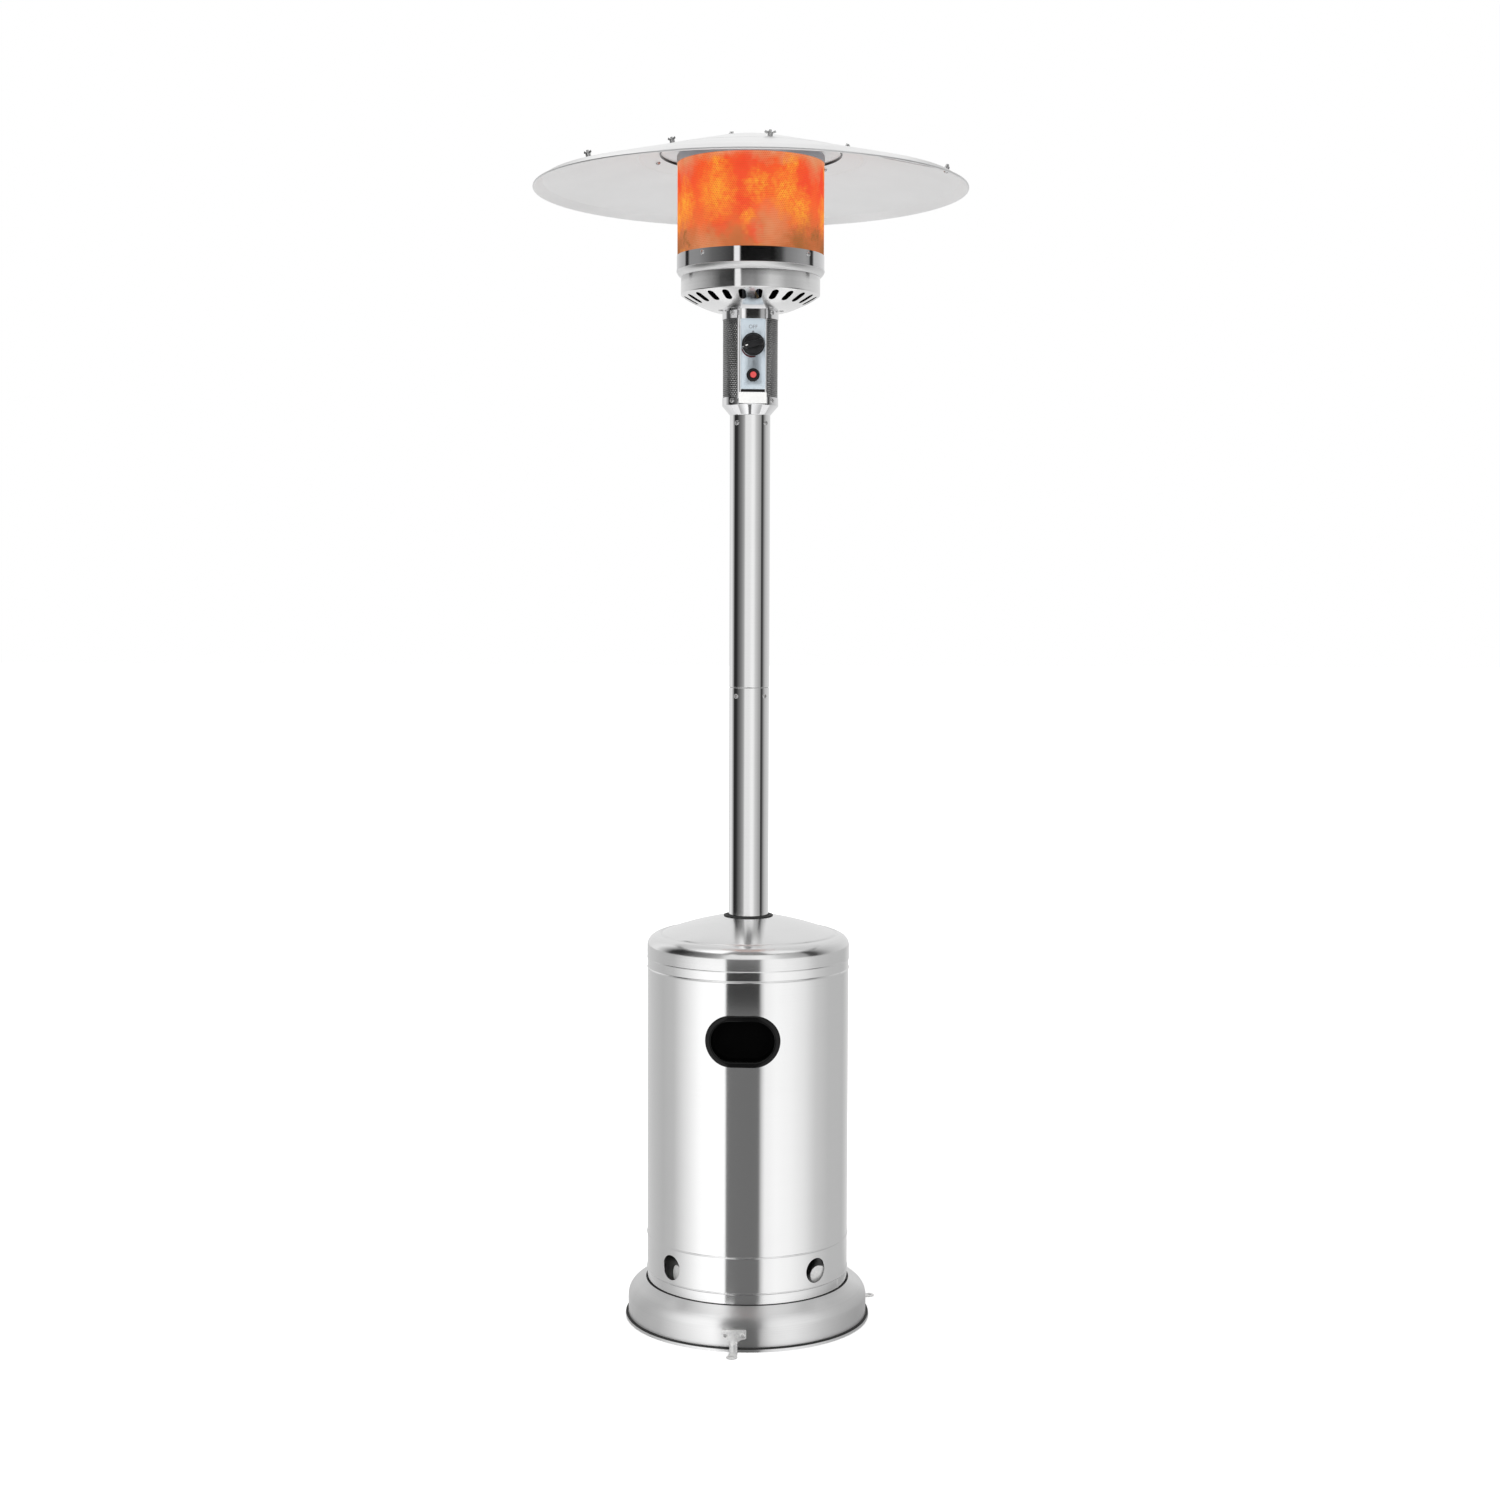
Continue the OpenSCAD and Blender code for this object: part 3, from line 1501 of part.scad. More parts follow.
// Turns an outline through part of a circle, between two directions
module sector(from, to) {
    rotate([0, 0, from - 90])
        rotate_extrude(angle = to - from, $fn = 180)
            children();
}

module reflector_panel_front() { color("whitesmoke") reflector_panel(seam_turns[0]); }

module reflector_panel_right() { color("whitesmoke") reflector_panel(seam_turns[1]); }

module reflector_panel_left() { color("whitesmoke") reflector_panel(seam_turns[2]); }

// Screws of the reflector, put in from below
reflector_screw_l = 3 * layer + wing_h + screw_past;

module reflector_screws() {
    two = 2 * layer;
    three = 3 * layer;
    color("gray") {
        for (a = lap_turns)
            turned(a) on_cone(hub_screw_r, three) rotate([180, 0, 0]) pan_screw(reflector_screw_l);
        for (a = mid_turns)
            turned(a) on_cone(hub_screw_r, two) rotate([180, 0, 0]) pan_screw(reflector_screw_l);
        for (a = lap_turns)
            turned(a) on_cone(rim_screw_r, three) rotate([180, 0, 0]) pan_screw(reflector_screw_l);
    }
}

// Wing nuts: on top of the reflector's sheets and of the studs
module wing_nuts() {
    color("gray") {
        for (a = concat(lap_turns, mid_turns))
            turned(a) on_cone(hub_screw_r, -fit) wing_nut(screw_hole_r);
        for (a = lap_turns)
            turned(a) on_cone(rim_screw_r, layer - fit) wing_nut(screw_hole_r);
        at_studs(hub_z + fit) wing_nut(bolt_hole_r);
    }
}

base_plate();
base_pan();
base_edge_trim();
anchor_bracket_front();
anchor_bracket_right();
anchor_bracket_left();
anchor_screws();
support_leg_left();
support_leg_right();
support_leg_rear();
leg_foot_bolts();
leg_post_bolts();
housing_shell();
housing_top();
post_grommet();
handle_cup();
lower_post();
upper_post();
post_screws();
neck_cup();
neck_screen();
neck_top_ring();
neck_screws();
panel_channel();
control_plate();
control_knob();
knob_stem();
valve_plug();
valve_bonnet();
gas_valve_body();
gas_inlet_fitting();
tilt_switch();
igniter_body();
igniter_nut();
igniter_button();
gas_pipe();
orifice_nozzle();
mixer_tube();
burner();
burner_deck();
pilot_bracket();
pilot_burner();
thermocouple();
spark_electrode();
head_bowl();
bowl_screws();
head_band();
band_screws();
emitter_screen();
emitter_cap();
reflector_studs();
stud_spacers();
reflector_hub();
reflector_panel_front();
reflector_panel_right();
reflector_panel_left();
reflector_screws();
wing_nuts();
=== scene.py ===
# %% [markdown]
# # A standing gas heater, dressed for its picture
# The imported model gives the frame: every part in its true place, in metres, with the joints that let it
# move. This lesson keeps that frame as it is and lays the visible skins over it: spun and rolled sheet,
# tubes, screens and mouldings, each with a finish made of shader nodes. Parts deep inside keep the frame's
# own shape.

import json
import math

import bmesh
import bpy
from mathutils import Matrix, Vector
from mathutils.geometry import delaunay_2d_cdt


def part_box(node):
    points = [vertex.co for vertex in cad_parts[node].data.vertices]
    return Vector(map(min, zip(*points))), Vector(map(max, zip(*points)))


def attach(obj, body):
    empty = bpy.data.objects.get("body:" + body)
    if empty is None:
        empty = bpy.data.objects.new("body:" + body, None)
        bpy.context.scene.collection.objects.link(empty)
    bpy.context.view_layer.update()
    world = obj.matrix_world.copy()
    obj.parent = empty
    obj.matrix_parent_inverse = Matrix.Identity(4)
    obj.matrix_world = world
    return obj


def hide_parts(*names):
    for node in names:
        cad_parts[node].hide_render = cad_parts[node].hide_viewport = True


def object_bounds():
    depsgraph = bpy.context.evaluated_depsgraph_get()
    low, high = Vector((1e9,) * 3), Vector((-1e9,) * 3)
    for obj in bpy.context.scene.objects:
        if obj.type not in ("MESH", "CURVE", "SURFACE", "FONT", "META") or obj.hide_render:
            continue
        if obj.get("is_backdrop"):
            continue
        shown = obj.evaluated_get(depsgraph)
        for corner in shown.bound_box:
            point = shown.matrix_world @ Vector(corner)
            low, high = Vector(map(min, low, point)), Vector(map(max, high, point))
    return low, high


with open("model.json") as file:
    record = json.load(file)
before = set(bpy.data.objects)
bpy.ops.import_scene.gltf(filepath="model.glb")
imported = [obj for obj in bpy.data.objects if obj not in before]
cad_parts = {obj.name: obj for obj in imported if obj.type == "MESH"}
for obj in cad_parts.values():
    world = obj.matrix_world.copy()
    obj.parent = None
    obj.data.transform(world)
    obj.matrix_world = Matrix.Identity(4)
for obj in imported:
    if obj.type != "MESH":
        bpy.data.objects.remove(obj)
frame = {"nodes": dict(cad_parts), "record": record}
cad_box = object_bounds()

# %% [markdown]
# ## Sizes
# Lengths are drawn in millimetres, as on a shop drawing, and turned into the frame's metres when a mesh is
# made. Wherever a size exists in the frame it is read from there, so the skins stay on the parts they
# cover.

# %% Read the sizes off the frame
MM = 0.001


def low(node):
    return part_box(node)[0].z / MM


def high(node):
    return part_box(node)[1].z / MM


def reach(node):
    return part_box(node)[1].x / MM


base_r, housing_r, post_r = reach("base_pan"), reach("housing_shell"), reach("lower_post")
print("Base, housing and post radius:", round(base_r, 1), round(housing_r, 1), round(post_r, 1), "mm")

# %% [markdown]
# ## Camera
# A long lens a little over four metres away, below the reflector and above the tank housing. It looks
# slightly down, so the base shows its top and the reflector shows its underside. The photograph isn't quite
# upright, so the camera rolls by a fifth of a degree.

# %% Camera
LENS, SENSOR, CAMERA_AT, LOOK_DOWN, ROLL = 53.96, 36, (0.001, -4.264, 1.383), 3.93, 0.2
camera_data = bpy.data.cameras.new("camera")
camera_data.lens = LENS
camera_data.sensor_width = SENSOR
camera = bpy.data.objects.new("camera", camera_data)
camera.location = CAMERA_AT
camera.rotation_euler = (math.radians(90 - LOOK_DOWN), math.radians(-ROLL), 0)
bpy.context.scene.collection.objects.link(camera)
bpy.context.scene.camera = camera
bpy.context.scene.view_settings.view_transform = "Standard"
print("Camera", round(camera.location.length, 2), "m from the frame's origin")

# %% [markdown]
# ## Node helpers
# Node trees grow long when every socket is named twice. Small functions keep them readable: one adds a node
# and fills its sockets with values or links, two start a finish or a node group, one places a group, and
# the last two make a colour ramp and spread a value over a new range.


# %% Node helpers
def add(tree, kind, sockets=None, **settings):
    node = tree.nodes.new(kind)
    for name, value in settings.items():
        setattr(node, name, value)
    for key, value in (sockets or {}).items():
        if isinstance(value, bpy.types.NodeSocket):
            tree.links.new(value, node.inputs[key])
        else:
            node.inputs[key].default_value = value
    return node


def new_finish(name, **constants):
    material = bpy.data.materials.new(name)
    material.use_nodes = True
    shader = material.node_tree.nodes["Principled BSDF"]
    for key, value in constants.items():
        shader.inputs[key.replace("_", " ")].default_value = value
    return material, material.node_tree, shader


def new_group(name, inputs, outputs):
    tree = bpy.data.node_groups.new(name, "ShaderNodeTree")
    for socket, default in inputs.items():
        made = tree.interface.new_socket(socket, in_out="INPUT", socket_type="NodeSocketFloat")
        made.default_value = default
    for socket, kind in outputs.items():
        tree.interface.new_socket(socket, in_out="OUTPUT", socket_type="NodeSocket" + kind)
    return tree, tree.nodes.new("NodeGroupInput").outputs, tree.nodes.new("NodeGroupOutput").inputs


def use(tree, group, **values):
    node = tree.nodes.new("ShaderNodeGroup")
    node.node_tree = group
    for key, value in values.items():
        node.inputs[key.replace("_", " ")].default_value = value
    return node.outputs


def ramp(tree, factor, stops):
    node = add(tree, "ShaderNodeValToRGB", {"Fac": factor})
    bar = node.color_ramp.elements
    while len(bar) < len(stops):
        bar.new(0.5)
    for element, (place, colour) in zip(bar, stops):
        element.position = place
        element.color = (*colour, 1) if isinstance(colour, tuple) else (colour, colour, colour, 1)
    return node.outputs["Color"]


def spread(tree, value, smallest, largest, start=0.0, end=1.0):
    sockets = {"Value": value, "From Min": start, "From Max": end, "To Min": smallest, "To Max": largest}
    return add(tree, "ShaderNodeMapRange", sockets).outputs["Result"]


print("Node helpers ready")

# %% [markdown]
# ## Studio
# Polished steel shows its surroundings more than itself, so the surroundings come first. The world is plain
# white, weaker as a lamp than as a backdrop. The floor is pale, keeps the shadow, and fades into the white
# far away. Three large soft lamps give form and stay out of the reflections.

# %% World
WORLD_LIGHT = 0.62
world = bpy.data.worlds.new("white room")
bpy.context.scene.world = world
world.use_nodes = True
tree = world.node_tree
ray = tree.nodes.new("ShaderNodeLightPath").outputs
seen = add(tree, "ShaderNodeMath", {0: ray["Is Camera Ray"], 1: ray["Is Glossy Ray"]}, operation="MAXIMUM")
seen = add(tree, "ShaderNodeMath", {0: seen.outputs[0], 1: ray["Is Transmission Ray"]}, operation="MAXIMUM")
backdrop = tree.nodes["Background"]
backdrop.inputs["Color"].default_value = (1, 1, 1, 1)
tree.links.new(spread(tree, seen.outputs[0], WORLD_LIGHT, 1.0), backdrop.inputs["Strength"])
print("World: white, strength", WORLD_LIGHT, "as a lamp and 1 as a backdrop")


# %% Floor
def stage_mesh(name, verts, faces, material):
    mesh = bpy.data.meshes.new(name)
    mesh.from_pydata(verts, [], faces)
    mesh.materials.append(material)
    obj = bpy.data.objects.new(name, mesh)
    bpy.context.scene.collection.objects.link(obj)
    obj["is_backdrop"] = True
    return obj


FLOOR_HALF, FADE_FROM, FADE_TO = 40.0, 0.8, 5.0
floor_paint, tree, shader = new_finish("floor paint", Roughness=0.9, Specular_IOR_Level=0.0)
shader.inputs["Base Color"].default_value = (0.86, 0.86, 0.86, 1)
shader.inputs["Emission Color"].default_value = (1, 1, 1, 1)
ray = tree.nodes.new("ShaderNodeLightPath").outputs
place = tree.nodes.new("ShaderNodeTexCoord").outputs["Object"]
away = add(tree, "ShaderNodeVectorMath", {0: place}, operation="LENGTH").outputs["Value"]
fade = spread(tree, away, 0.34, 0.75, FADE_FROM, FADE_TO)
lift = add(tree, "ShaderNodeMath", {0: ray["Is Camera Ray"], 1: fade}, operation="MULTIPLY").outputs[0]
tree.links.new(lift, shader.inputs["Emission Strength"])
corners = [(x * FLOOR_HALF, y * FLOOR_HALF, 0) for x, y in ((-1, -1), (1, -1), (1, 1), (-1, 1))]
stage_mesh("floor", corners, [(0, 1, 2, 3)], floor_paint)
print("Floor", 2 * FLOOR_HALF, "m wide")

# %% Lamps
LAMP_AIM = Vector((0, 0, 1.0))
lamps = (("key", (-2.4, -3.0, 3.4), 2.4, 95), ("fill", (3.0, -2.6, 2.6), 2.6, 45),
         ("back", (0.6, 3.2, 3.4), 2.6, 60))
for name, place, width, watts in lamps:
    lamp = bpy.data.lights.new(name, "AREA")
    lamp.energy = watts
    lamp.size = width
    obj = bpy.data.objects.new(name, lamp)
    obj.location = place
    obj.rotation_euler = (LAMP_AIM - Vector(place)).to_track_quat("-Z", "Y").to_euler()
    obj.visible_glossy = False
    bpy.context.scene.collection.objects.link(obj)
print(len(lamps), "soft lamps placed")

# %% [markdown]
# ## Reflection tent
# A product photographer sets white sheets and black flags about polished metal. Here a tent of light and
# dark strips stands about the heater and is seen by reflections only. Each ring of it is met by another
# part: the pan ring on the floor by the base, foot and knee ring by the housing, the tall wall by the post,
# the three rings above it by neck, bowl and band, and the flat lid by the cap and the slope of the pan. A
# round mirror has its focus half a radius deep, and strips laid out about that point give straight-edged
# reflections.

# %% Strips of the tent
KNEE_DARK = 0.035
strips = {
    "pan": [(-180, 0.8), (-130, 0.58), (-106, 0.44), (-80, 0.5), (-53, 0.85), (-33, 1.15), (-17, 1.1),
            (-14, 0.1), (10, 0.1), (13, 0.6), (25, 0.85), (41, 0.9), (67, 0.55), (90, 0.4), (106, 0.33),
            (130, 0.4), (180, 0.8)],
    "foot": [(-180, 0.8), (-157, 0.66), (-121, 0.52), (-107, 0.47), (-89, 0.52), (-71, 0.82), (-56, 1.06),
             (-44, 1.13), (-24.9, 1.12), (-24.1, 0.16), (12.6, 0.15), (14.6, 0.55), (19, 0.92), (32, 1.0),
             (49, 0.94), (65, 0.81), (81, 0.6), (100, 0.5), (130, 0.49), (150, 0.7), (180, 0.8)],
    "wall": [(-180, 0.8), (-140, 0.75), (-122, 0.85), (-106, 0.45), (-94, 0.02), (-76, 0.03), (-60, 0.13),
             (-46, 0.22), (-32, 0.38), (-23, 0.8), (0, 0.82), (14, 0.92), (24, 0.88), (36, 0.6), (58, 0.38),
             (66, 0.34), (70, 0.04), (80, 0.06), (90, 0.3), (104, 0.52), (140, 0.7), (180, 0.8)],
    "collar": [(-180, 0.8), (-120, 0.7), (-110, 0.1), (-92, 0.06), (-80, 0.6), (-40, 0.7), (0, 1.0),
               (4.6, 1.0), (5, 0.01), (14, 0.01), (14.6, 0.4), (40, 0.5), (70, 0.6), (76, 0.1), (90, 0.08),
               (100, 0.6), (180, 0.8)],
    "bowl": [(-180, 0.8), (-142, 0.72), (-108, 0.6), (-85, 0.45), (-65, 0.27), (-48, 0.06), (-25.5, 0.012),
             (-24.2, 0.9), (-15.8, 0.9), (-14.5, 0.22), (8, 0.28), (22, 0.5), (32, 0.68), (44, 0.62),
             (58, 0.43), (70, 0.43), (100, 0.6), (140, 0.7), (180, 0.8)],
    "band": [(-180, 0.85), (-150, 0.6), (-120, 0.42), (-116, 0.02), (-110, 0.02), (-106, 0.28), (-85, 0.26),
             (-60, 0.13), (-40, 0.08), (-24.8, 0.04), (-23.8, 0.9), (-16.2, 0.9), (-15.2, 0.003), (34, 0.006),
             (46, 0.05), (55, 0.2), (90, 0.34), (99, 0.3), (102, 0.03), (108, 0.03), (112, 0.5), (140, 0.65),
             (180, 0.85)],
    "lid": [(-180, 0.75), (-120, 0.6), (-95, 0.75), (-80, 1.0), (-60, 1.3), (-38, 1.2), (-31, 0.25),
            (24, 0.25), (31, 0.85), (68, 0.95), (85, 0.75), (100, 0.6), (180, 0.75)],
}
strips["knee"] = [(turn, KNEE_DARK if level < 0.2 else level) for turn, level in strips["foot"]]
print("Strips as turn and brightness for", len(strips), "rings")


# %% Rings of the tent
def strip_material(name, stops, focus):
    material = bpy.data.materials.new(name)
    material.use_nodes = True
    tree = material.node_tree
    tree.nodes.clear()
    place = tree.nodes.new("ShaderNodeTexCoord").outputs["Object"]
    xyz = add(tree, "ShaderNodeSeparateXYZ", {"Vector": place}).outputs
    front = add(tree, "ShaderNodeMath", {0: -focus, 1: xyz["Y"]}, operation="SUBTRACT").outputs[0]
    turn = add(tree, "ShaderNodeMath", {0: xyz["X"], 1: front}, operation="ARCTAN2").outputs[0]
    share = spread(tree, turn, 0, 1, -math.pi, math.pi)
    level = ramp(tree, share, [((degrees + 180) / 360, bright) for degrees, bright in stops])
    glow = add(tree, "ShaderNodeEmission", {"Color": level})
    add(tree, "ShaderNodeOutputMaterial", {"Surface": glow.outputs[0]})
    return material


TENT_STEPS = 120


def tent_ring(name, path, stops, focus):
    turns = [math.tau * i / TENT_STEPS for i in range(TENT_STEPS)]
    verts = [(r * math.sin(a), -r * math.cos(a), z) for a in turns for r, z in path]
    n = len(path)
    faces = [(i * n + j, i * n + j + 1, (i + 1) % TENT_STEPS * n + j + 1, (i + 1) % TENT_STEPS * n + j)
             for i in range(TENT_STEPS) for j in range(n - 1)]
    obj = stage_mesh(name, verts, faces, strip_material(name + " strips", stops, focus))
    obj.visible_camera = obj.visible_diffuse = obj.visible_shadow = obj.visible_transmission = False


TENT_R, INNER_R, PAN_IN, PAN_OUT, LID_HOLE = 1.6, 0.62, 0.05, 0.42, 0.46
ABOVE_FLOOR, KNEE_LOW, KNEE_TOP = 0.0006, 0.55, 0.69
WALL_LOW, COLLAR_LOW, BOWL_LOW, BAND_LOW, LID_Z = 0.25, 2.07, 2.12, 2.183, 2.42
base_focus, housing_focus, axis = base_r * MM / 2, housing_r * MM / 2, 0.0
for name, path, focus in (
    ("pan", [(PAN_IN, ABOVE_FLOOR), (PAN_OUT, ABOVE_FLOOR)], base_focus),
    ("foot", [(PAN_OUT, ABOVE_FLOOR), (INNER_R, ABOVE_FLOOR), (INNER_R, KNEE_LOW)], housing_focus),
    ("knee", [(INNER_R, KNEE_LOW), (INNER_R, KNEE_TOP)], housing_focus),
    ("wall", [(TENT_R, WALL_LOW), (TENT_R, COLLAR_LOW)], axis),
    ("collar", [(TENT_R, COLLAR_LOW), (TENT_R, BOWL_LOW)], axis),
    ("bowl", [(TENT_R, BOWL_LOW), (TENT_R, BAND_LOW)], axis),
    ("band", [(TENT_R, BAND_LOW), (TENT_R, LID_Z)], axis),
    ("lid", [(TENT_R, LID_Z), (LID_HOLE, LID_Z)], axis),
):
    tent_ring("tent_" + name, path, strips[name], focus)
print("Tent of strips, radius", TENT_R, "m, seen by reflections only")

# %% [markdown]
# ## Shared surface effects
# Real finishes vary. Four node groups carry the varying part: the fine lines left by turning and brushing,
# the smudges of hands and weather, the pebbled skin of moulded plastic, and worn edges. Each gives out a
# mask or a height, so one group serves many materials with other values.

# %% Turned grain
grain_group, taken, given = new_group("Turned grain", {"Lines": 900.0, "Around": 3.0}, {"Mask": "Float"})
place = grain_group.nodes.new("ShaderNodeTexCoord").outputs["Object"]
sides = {"X": taken["Around"], "Y": taken["Around"], "Z": taken["Lines"]}
stretch = add(grain_group, "ShaderNodeCombineXYZ", sides).outputs[0]
drawn = add(grain_group, "ShaderNodeVectorMath", {0: place, 1: stretch}, operation="MULTIPLY").outputs[0]
fine = {"Vector": drawn, "Scale": 1.0, "Detail": 4.0, "Roughness": 0.6}
lines = add(grain_group, "ShaderNodeTexNoise", fine)
grain_group.links.new(lines.outputs["Fac"], given["Mask"])
print("Group:", grain_group.name)

# %% Smudges
smudge_group, taken, given = new_group("Smudges", {"Size": 9.0, "Amount": 0.5}, {"Mask": "Float"})
place = smudge_group.nodes.new("ShaderNodeTexCoord").outputs["Object"]
broad = {"Vector": place, "Scale": taken["Size"], "Detail": 5.0, "Distortion": 0.6}
cloud = add(smudge_group, "ShaderNodeTexNoise", broad)
soft = spread(smudge_group, cloud.outputs["Fac"], 0, 1, 0.42, 0.72)
dabs = add(smudge_group, "ShaderNodeMath", {0: soft, 1: taken["Amount"]}, operation="MULTIPLY").outputs[0]
smudge_group.links.new(dabs, given["Mask"])
print("Group:", smudge_group.name)

# %% Moulded skin
skin_outputs = {"Height": "Float", "Shade": "Float"}
skin_group, taken, given = new_group("Moulded skin", {"Pebbles": 1400.0}, skin_outputs)
place = skin_group.nodes.new("ShaderNodeTexCoord").outputs["Object"]
pebbles = {"Vector": place, "Scale": taken["Pebbles"]}
pebble = add(skin_group, "ShaderNodeTexVoronoi", pebbles, feature="SMOOTH_F1")
shade = add(skin_group, "ShaderNodeTexNoise", {"Vector": place, "Scale": 35.0, "Detail": 4.0})
skin_group.links.new(pebble.outputs["Distance"], given["Height"])
skin_group.links.new(shade.outputs["Fac"], given["Shade"])
print("Group:", skin_group.name)

# %% Worn edges
wear_group, taken, given = new_group("Worn edges", {"Start": 0.54, "Scuff": 60.0}, {"Mask": "Float"})
WEAR_SPAN = 0.08
sharpness = wear_group.nodes.new("ShaderNodeNewGeometry").outputs["Pointiness"]
place = wear_group.nodes.new("ShaderNodeTexCoord").outputs["Object"]
scuffs = {"Vector": place, "Scale": taken["Scuff"], "Detail": 5.0}
scuff = add(wear_group, "ShaderNodeTexNoise", scuffs).outputs["Fac"]
end = add(wear_group, "ShaderNodeMath", {0: taken["Start"], 1: WEAR_SPAN}, operation="ADD").outputs[0]
span = {"Value": sharpness, "From Min": taken["Start"], "From Max": end}
edge = add(wear_group, "ShaderNodeMapRange", span).outputs[0]
worn = add(wear_group, "ShaderNodeMath", {0: edge, 1: scuff}, operation="MULTIPLY").outputs[0]
wear_group.links.new(worn, given["Mask"])
print("Group:", wear_group.name)

# %% [markdown]
# ## Steel finishes
# Stainless sheet here is satin: it mirrors, but drawn out along the upright by the rolling. An anisotropic
# shader with a tangent that runs round the axis does that, and the grain group breaks the roughness into
# fine lines. Inside the burner bowl the metal is painted near black and dull as painted shade, so the air
# slots read dark: there the surface faces the middle of the bowl, which a dot product tells.


# %% Steel helper
# Painted shade: inside the bowl, surfaces that face its middle are painted near black, so the slots look
# dark.
INNER_SHADE_FROM = (0.0, 0.0, high("head_bowl") * MM)
PAINTED_SHADE_BLACK, INNER_SHADE_ROUGH, INNER_SHADE_EDGE = (0.006, 0.006, 0.006, 1), 0.6, 0.004


# Mixes in the painted shade: near black and rougher where the surface faces the bowl's middle.
def with_painted_inner_shade(tree, colour, dull):
    coords = tree.nodes.new("ShaderNodeTexCoord").outputs
    apart = {0: coords["Object"], 1: INNER_SHADE_FROM}
    middle = add(tree, "ShaderNodeVectorMath", apart, operation="SUBTRACT").outputs[0]
    along = {0: coords["Normal"], 1: middle}
    facing = add(tree, "ShaderNodeVectorMath", along, operation="DOT_PRODUCT").outputs["Value"]
    painted_shade = spread(tree, facing, 1.0, 0.0, -INNER_SHADE_EDGE, INNER_SHADE_EDGE)
    colour = add(tree, "ShaderNodeMix", {0: painted_shade, 6: colour, 7: PAINTED_SHADE_BLACK}, data_type="RGBA").outputs[2]
    return colour, add(tree, "ShaderNodeMix", {0: painted_shade, 2: dull, 3: INNER_SHADE_ROUGH}).outputs[0]


def steel(name, light, dark, rough, lines=900.0, drawn=0.0, smudge=0.4, bump=0.03, around=3.0, shade_inside=False):
    material, tree, shader = new_finish(name, Metallic=1.0, Anisotropic=drawn, Anisotropic_Rotation=0.25)
    grain = use(tree, grain_group, Lines=lines, Around=around)["Mask"]
    dabs = use(tree, smudge_group, Amount=smudge)["Mask"]
    tint = add(tree, "ShaderNodeMath", {0: grain, 1: dabs}, operation="ADD", use_clamp=True).outputs[0]
    colour = ramp(tree, tint, [(0.25, light), (0.95, dark)])
    dull = spread(tree, tint, rough[0], rough[1], 0.2, 1.2)
    if shade_inside:
        colour, dull = with_painted_inner_shade(tree, colour, dull)
    tree.links.new(colour, shader.inputs["Base Color"])
    tree.links.new(dull, shader.inputs["Roughness"])
    height = add(tree, "ShaderNodeBump", {"Height": grain, "Strength": bump, "Distance": 0.0002})
    tree.links.new(height.outputs["Normal"], shader.inputs["Normal"])
    if drawn:
        tangent = add(tree, "ShaderNodeTangent", direction_type="RADIAL", axis="Z")
        tree.links.new(tangent.outputs[0], shader.inputs["Tangent"])
    return material


print("Steel: grain, smudges, and soot where asked")

# %% Steel finishes
finishes = {
    "brushed_steel": steel("satin steel", 0.94, 0.91, (0.11, 0.17), drawn=0.6, smudge=0.25, bump=0.004),
    "pan_steel": steel("coarse satin steel", 0.91, 0.84, (0.33, 0.39), drawn=0.9, bump=0.012),
    "cap_steel": steel("spun satin steel", 0.93, 0.89, (0.16, 0.21), drawn=0.75, bump=0.004),
    "post_steel": steel("tube steel", 0.94, 0.9, (0.04, 0.07), lines=500, smudge=0.2, bump=0.004),
    "chrome": steel("chrome plate", (0.93, 0.93, 0.94), (0.87, 0.87, 0.88), (0.03, 0.08), lines=300,
                    bump=0.004),
    # The bowl's two metals carry painted shade on their inside.
    "polished_steel": steel("polished steel", 0.93, 0.88, (0.05, 0.1), lines=300, smudge=0.2, bump=0.004,
                            shade_inside=True),
    "bowl_steel": steel("bowl steel", 0.93, 0.87, (0.17, 0.25), lines=300, smudge=0.2, bump=0.004,
                        shade_inside=True),
    "neck_mesh": steel("screen steel", 0.4, 0.24, (0.2, 0.36), smudge=0.6),
    "reflector_sheet": steel("aluminium sheet", 0.88, 0.84, (0.38, 0.44), lines=25, around=9, smudge=0.2,
                             bump=0.0),
    "fasteners": steel("plated screws", 0.74, 0.52, (0.14, 0.3), lines=500, around=500),
}
print(len(finishes), "steel finishes")

# %% [markdown]
# ## Zinc, brass, copper and heated steel
# Zinc plate has pale crystals, so a cell texture tints it. Steel near a flame turns straw and blue, which a
# cloudy noise through a colour ramp imitates. Brass and copper use the same clouds in their own colours.


# %% Other metals
def flakes(tree, place, size):
    cells = add(tree, "ShaderNodeTexVoronoi", {"Vector": place, "Scale": size}).outputs["Color"]
    return add(tree, "ShaderNodeSeparateColor", {"Color": cells}).outputs["Red"]


def clouded(name, stops, rough, size=40.0, cells=False, bump=0.05, metal=1.0):
    material, tree, shader = new_finish(name, Metallic=metal)
    place = tree.nodes.new("ShaderNodeTexCoord").outputs["Object"]
    if cells:
        pattern = flakes(tree, place, size)
    else:
        cloud = {"Vector": place, "Scale": size, "Detail": 4.0}
        pattern = add(tree, "ShaderNodeTexNoise", cloud).outputs["Fac"]
    worn = use(tree, wear_group)["Mask"]
    mixed = add(tree, "ShaderNodeMath", {0: pattern, 1: worn}, operation="ADD", use_clamp=True).outputs[0]
    tree.links.new(ramp(tree, mixed, stops), shader.inputs["Base Color"])
    tree.links.new(spread(tree, pattern, *rough), shader.inputs["Roughness"])
    height = add(tree, "ShaderNodeBump", {"Height": pattern, "Strength": bump, "Distance": 0.0003})
    tree.links.new(height.outputs["Normal"], shader.inputs["Normal"])
    return material


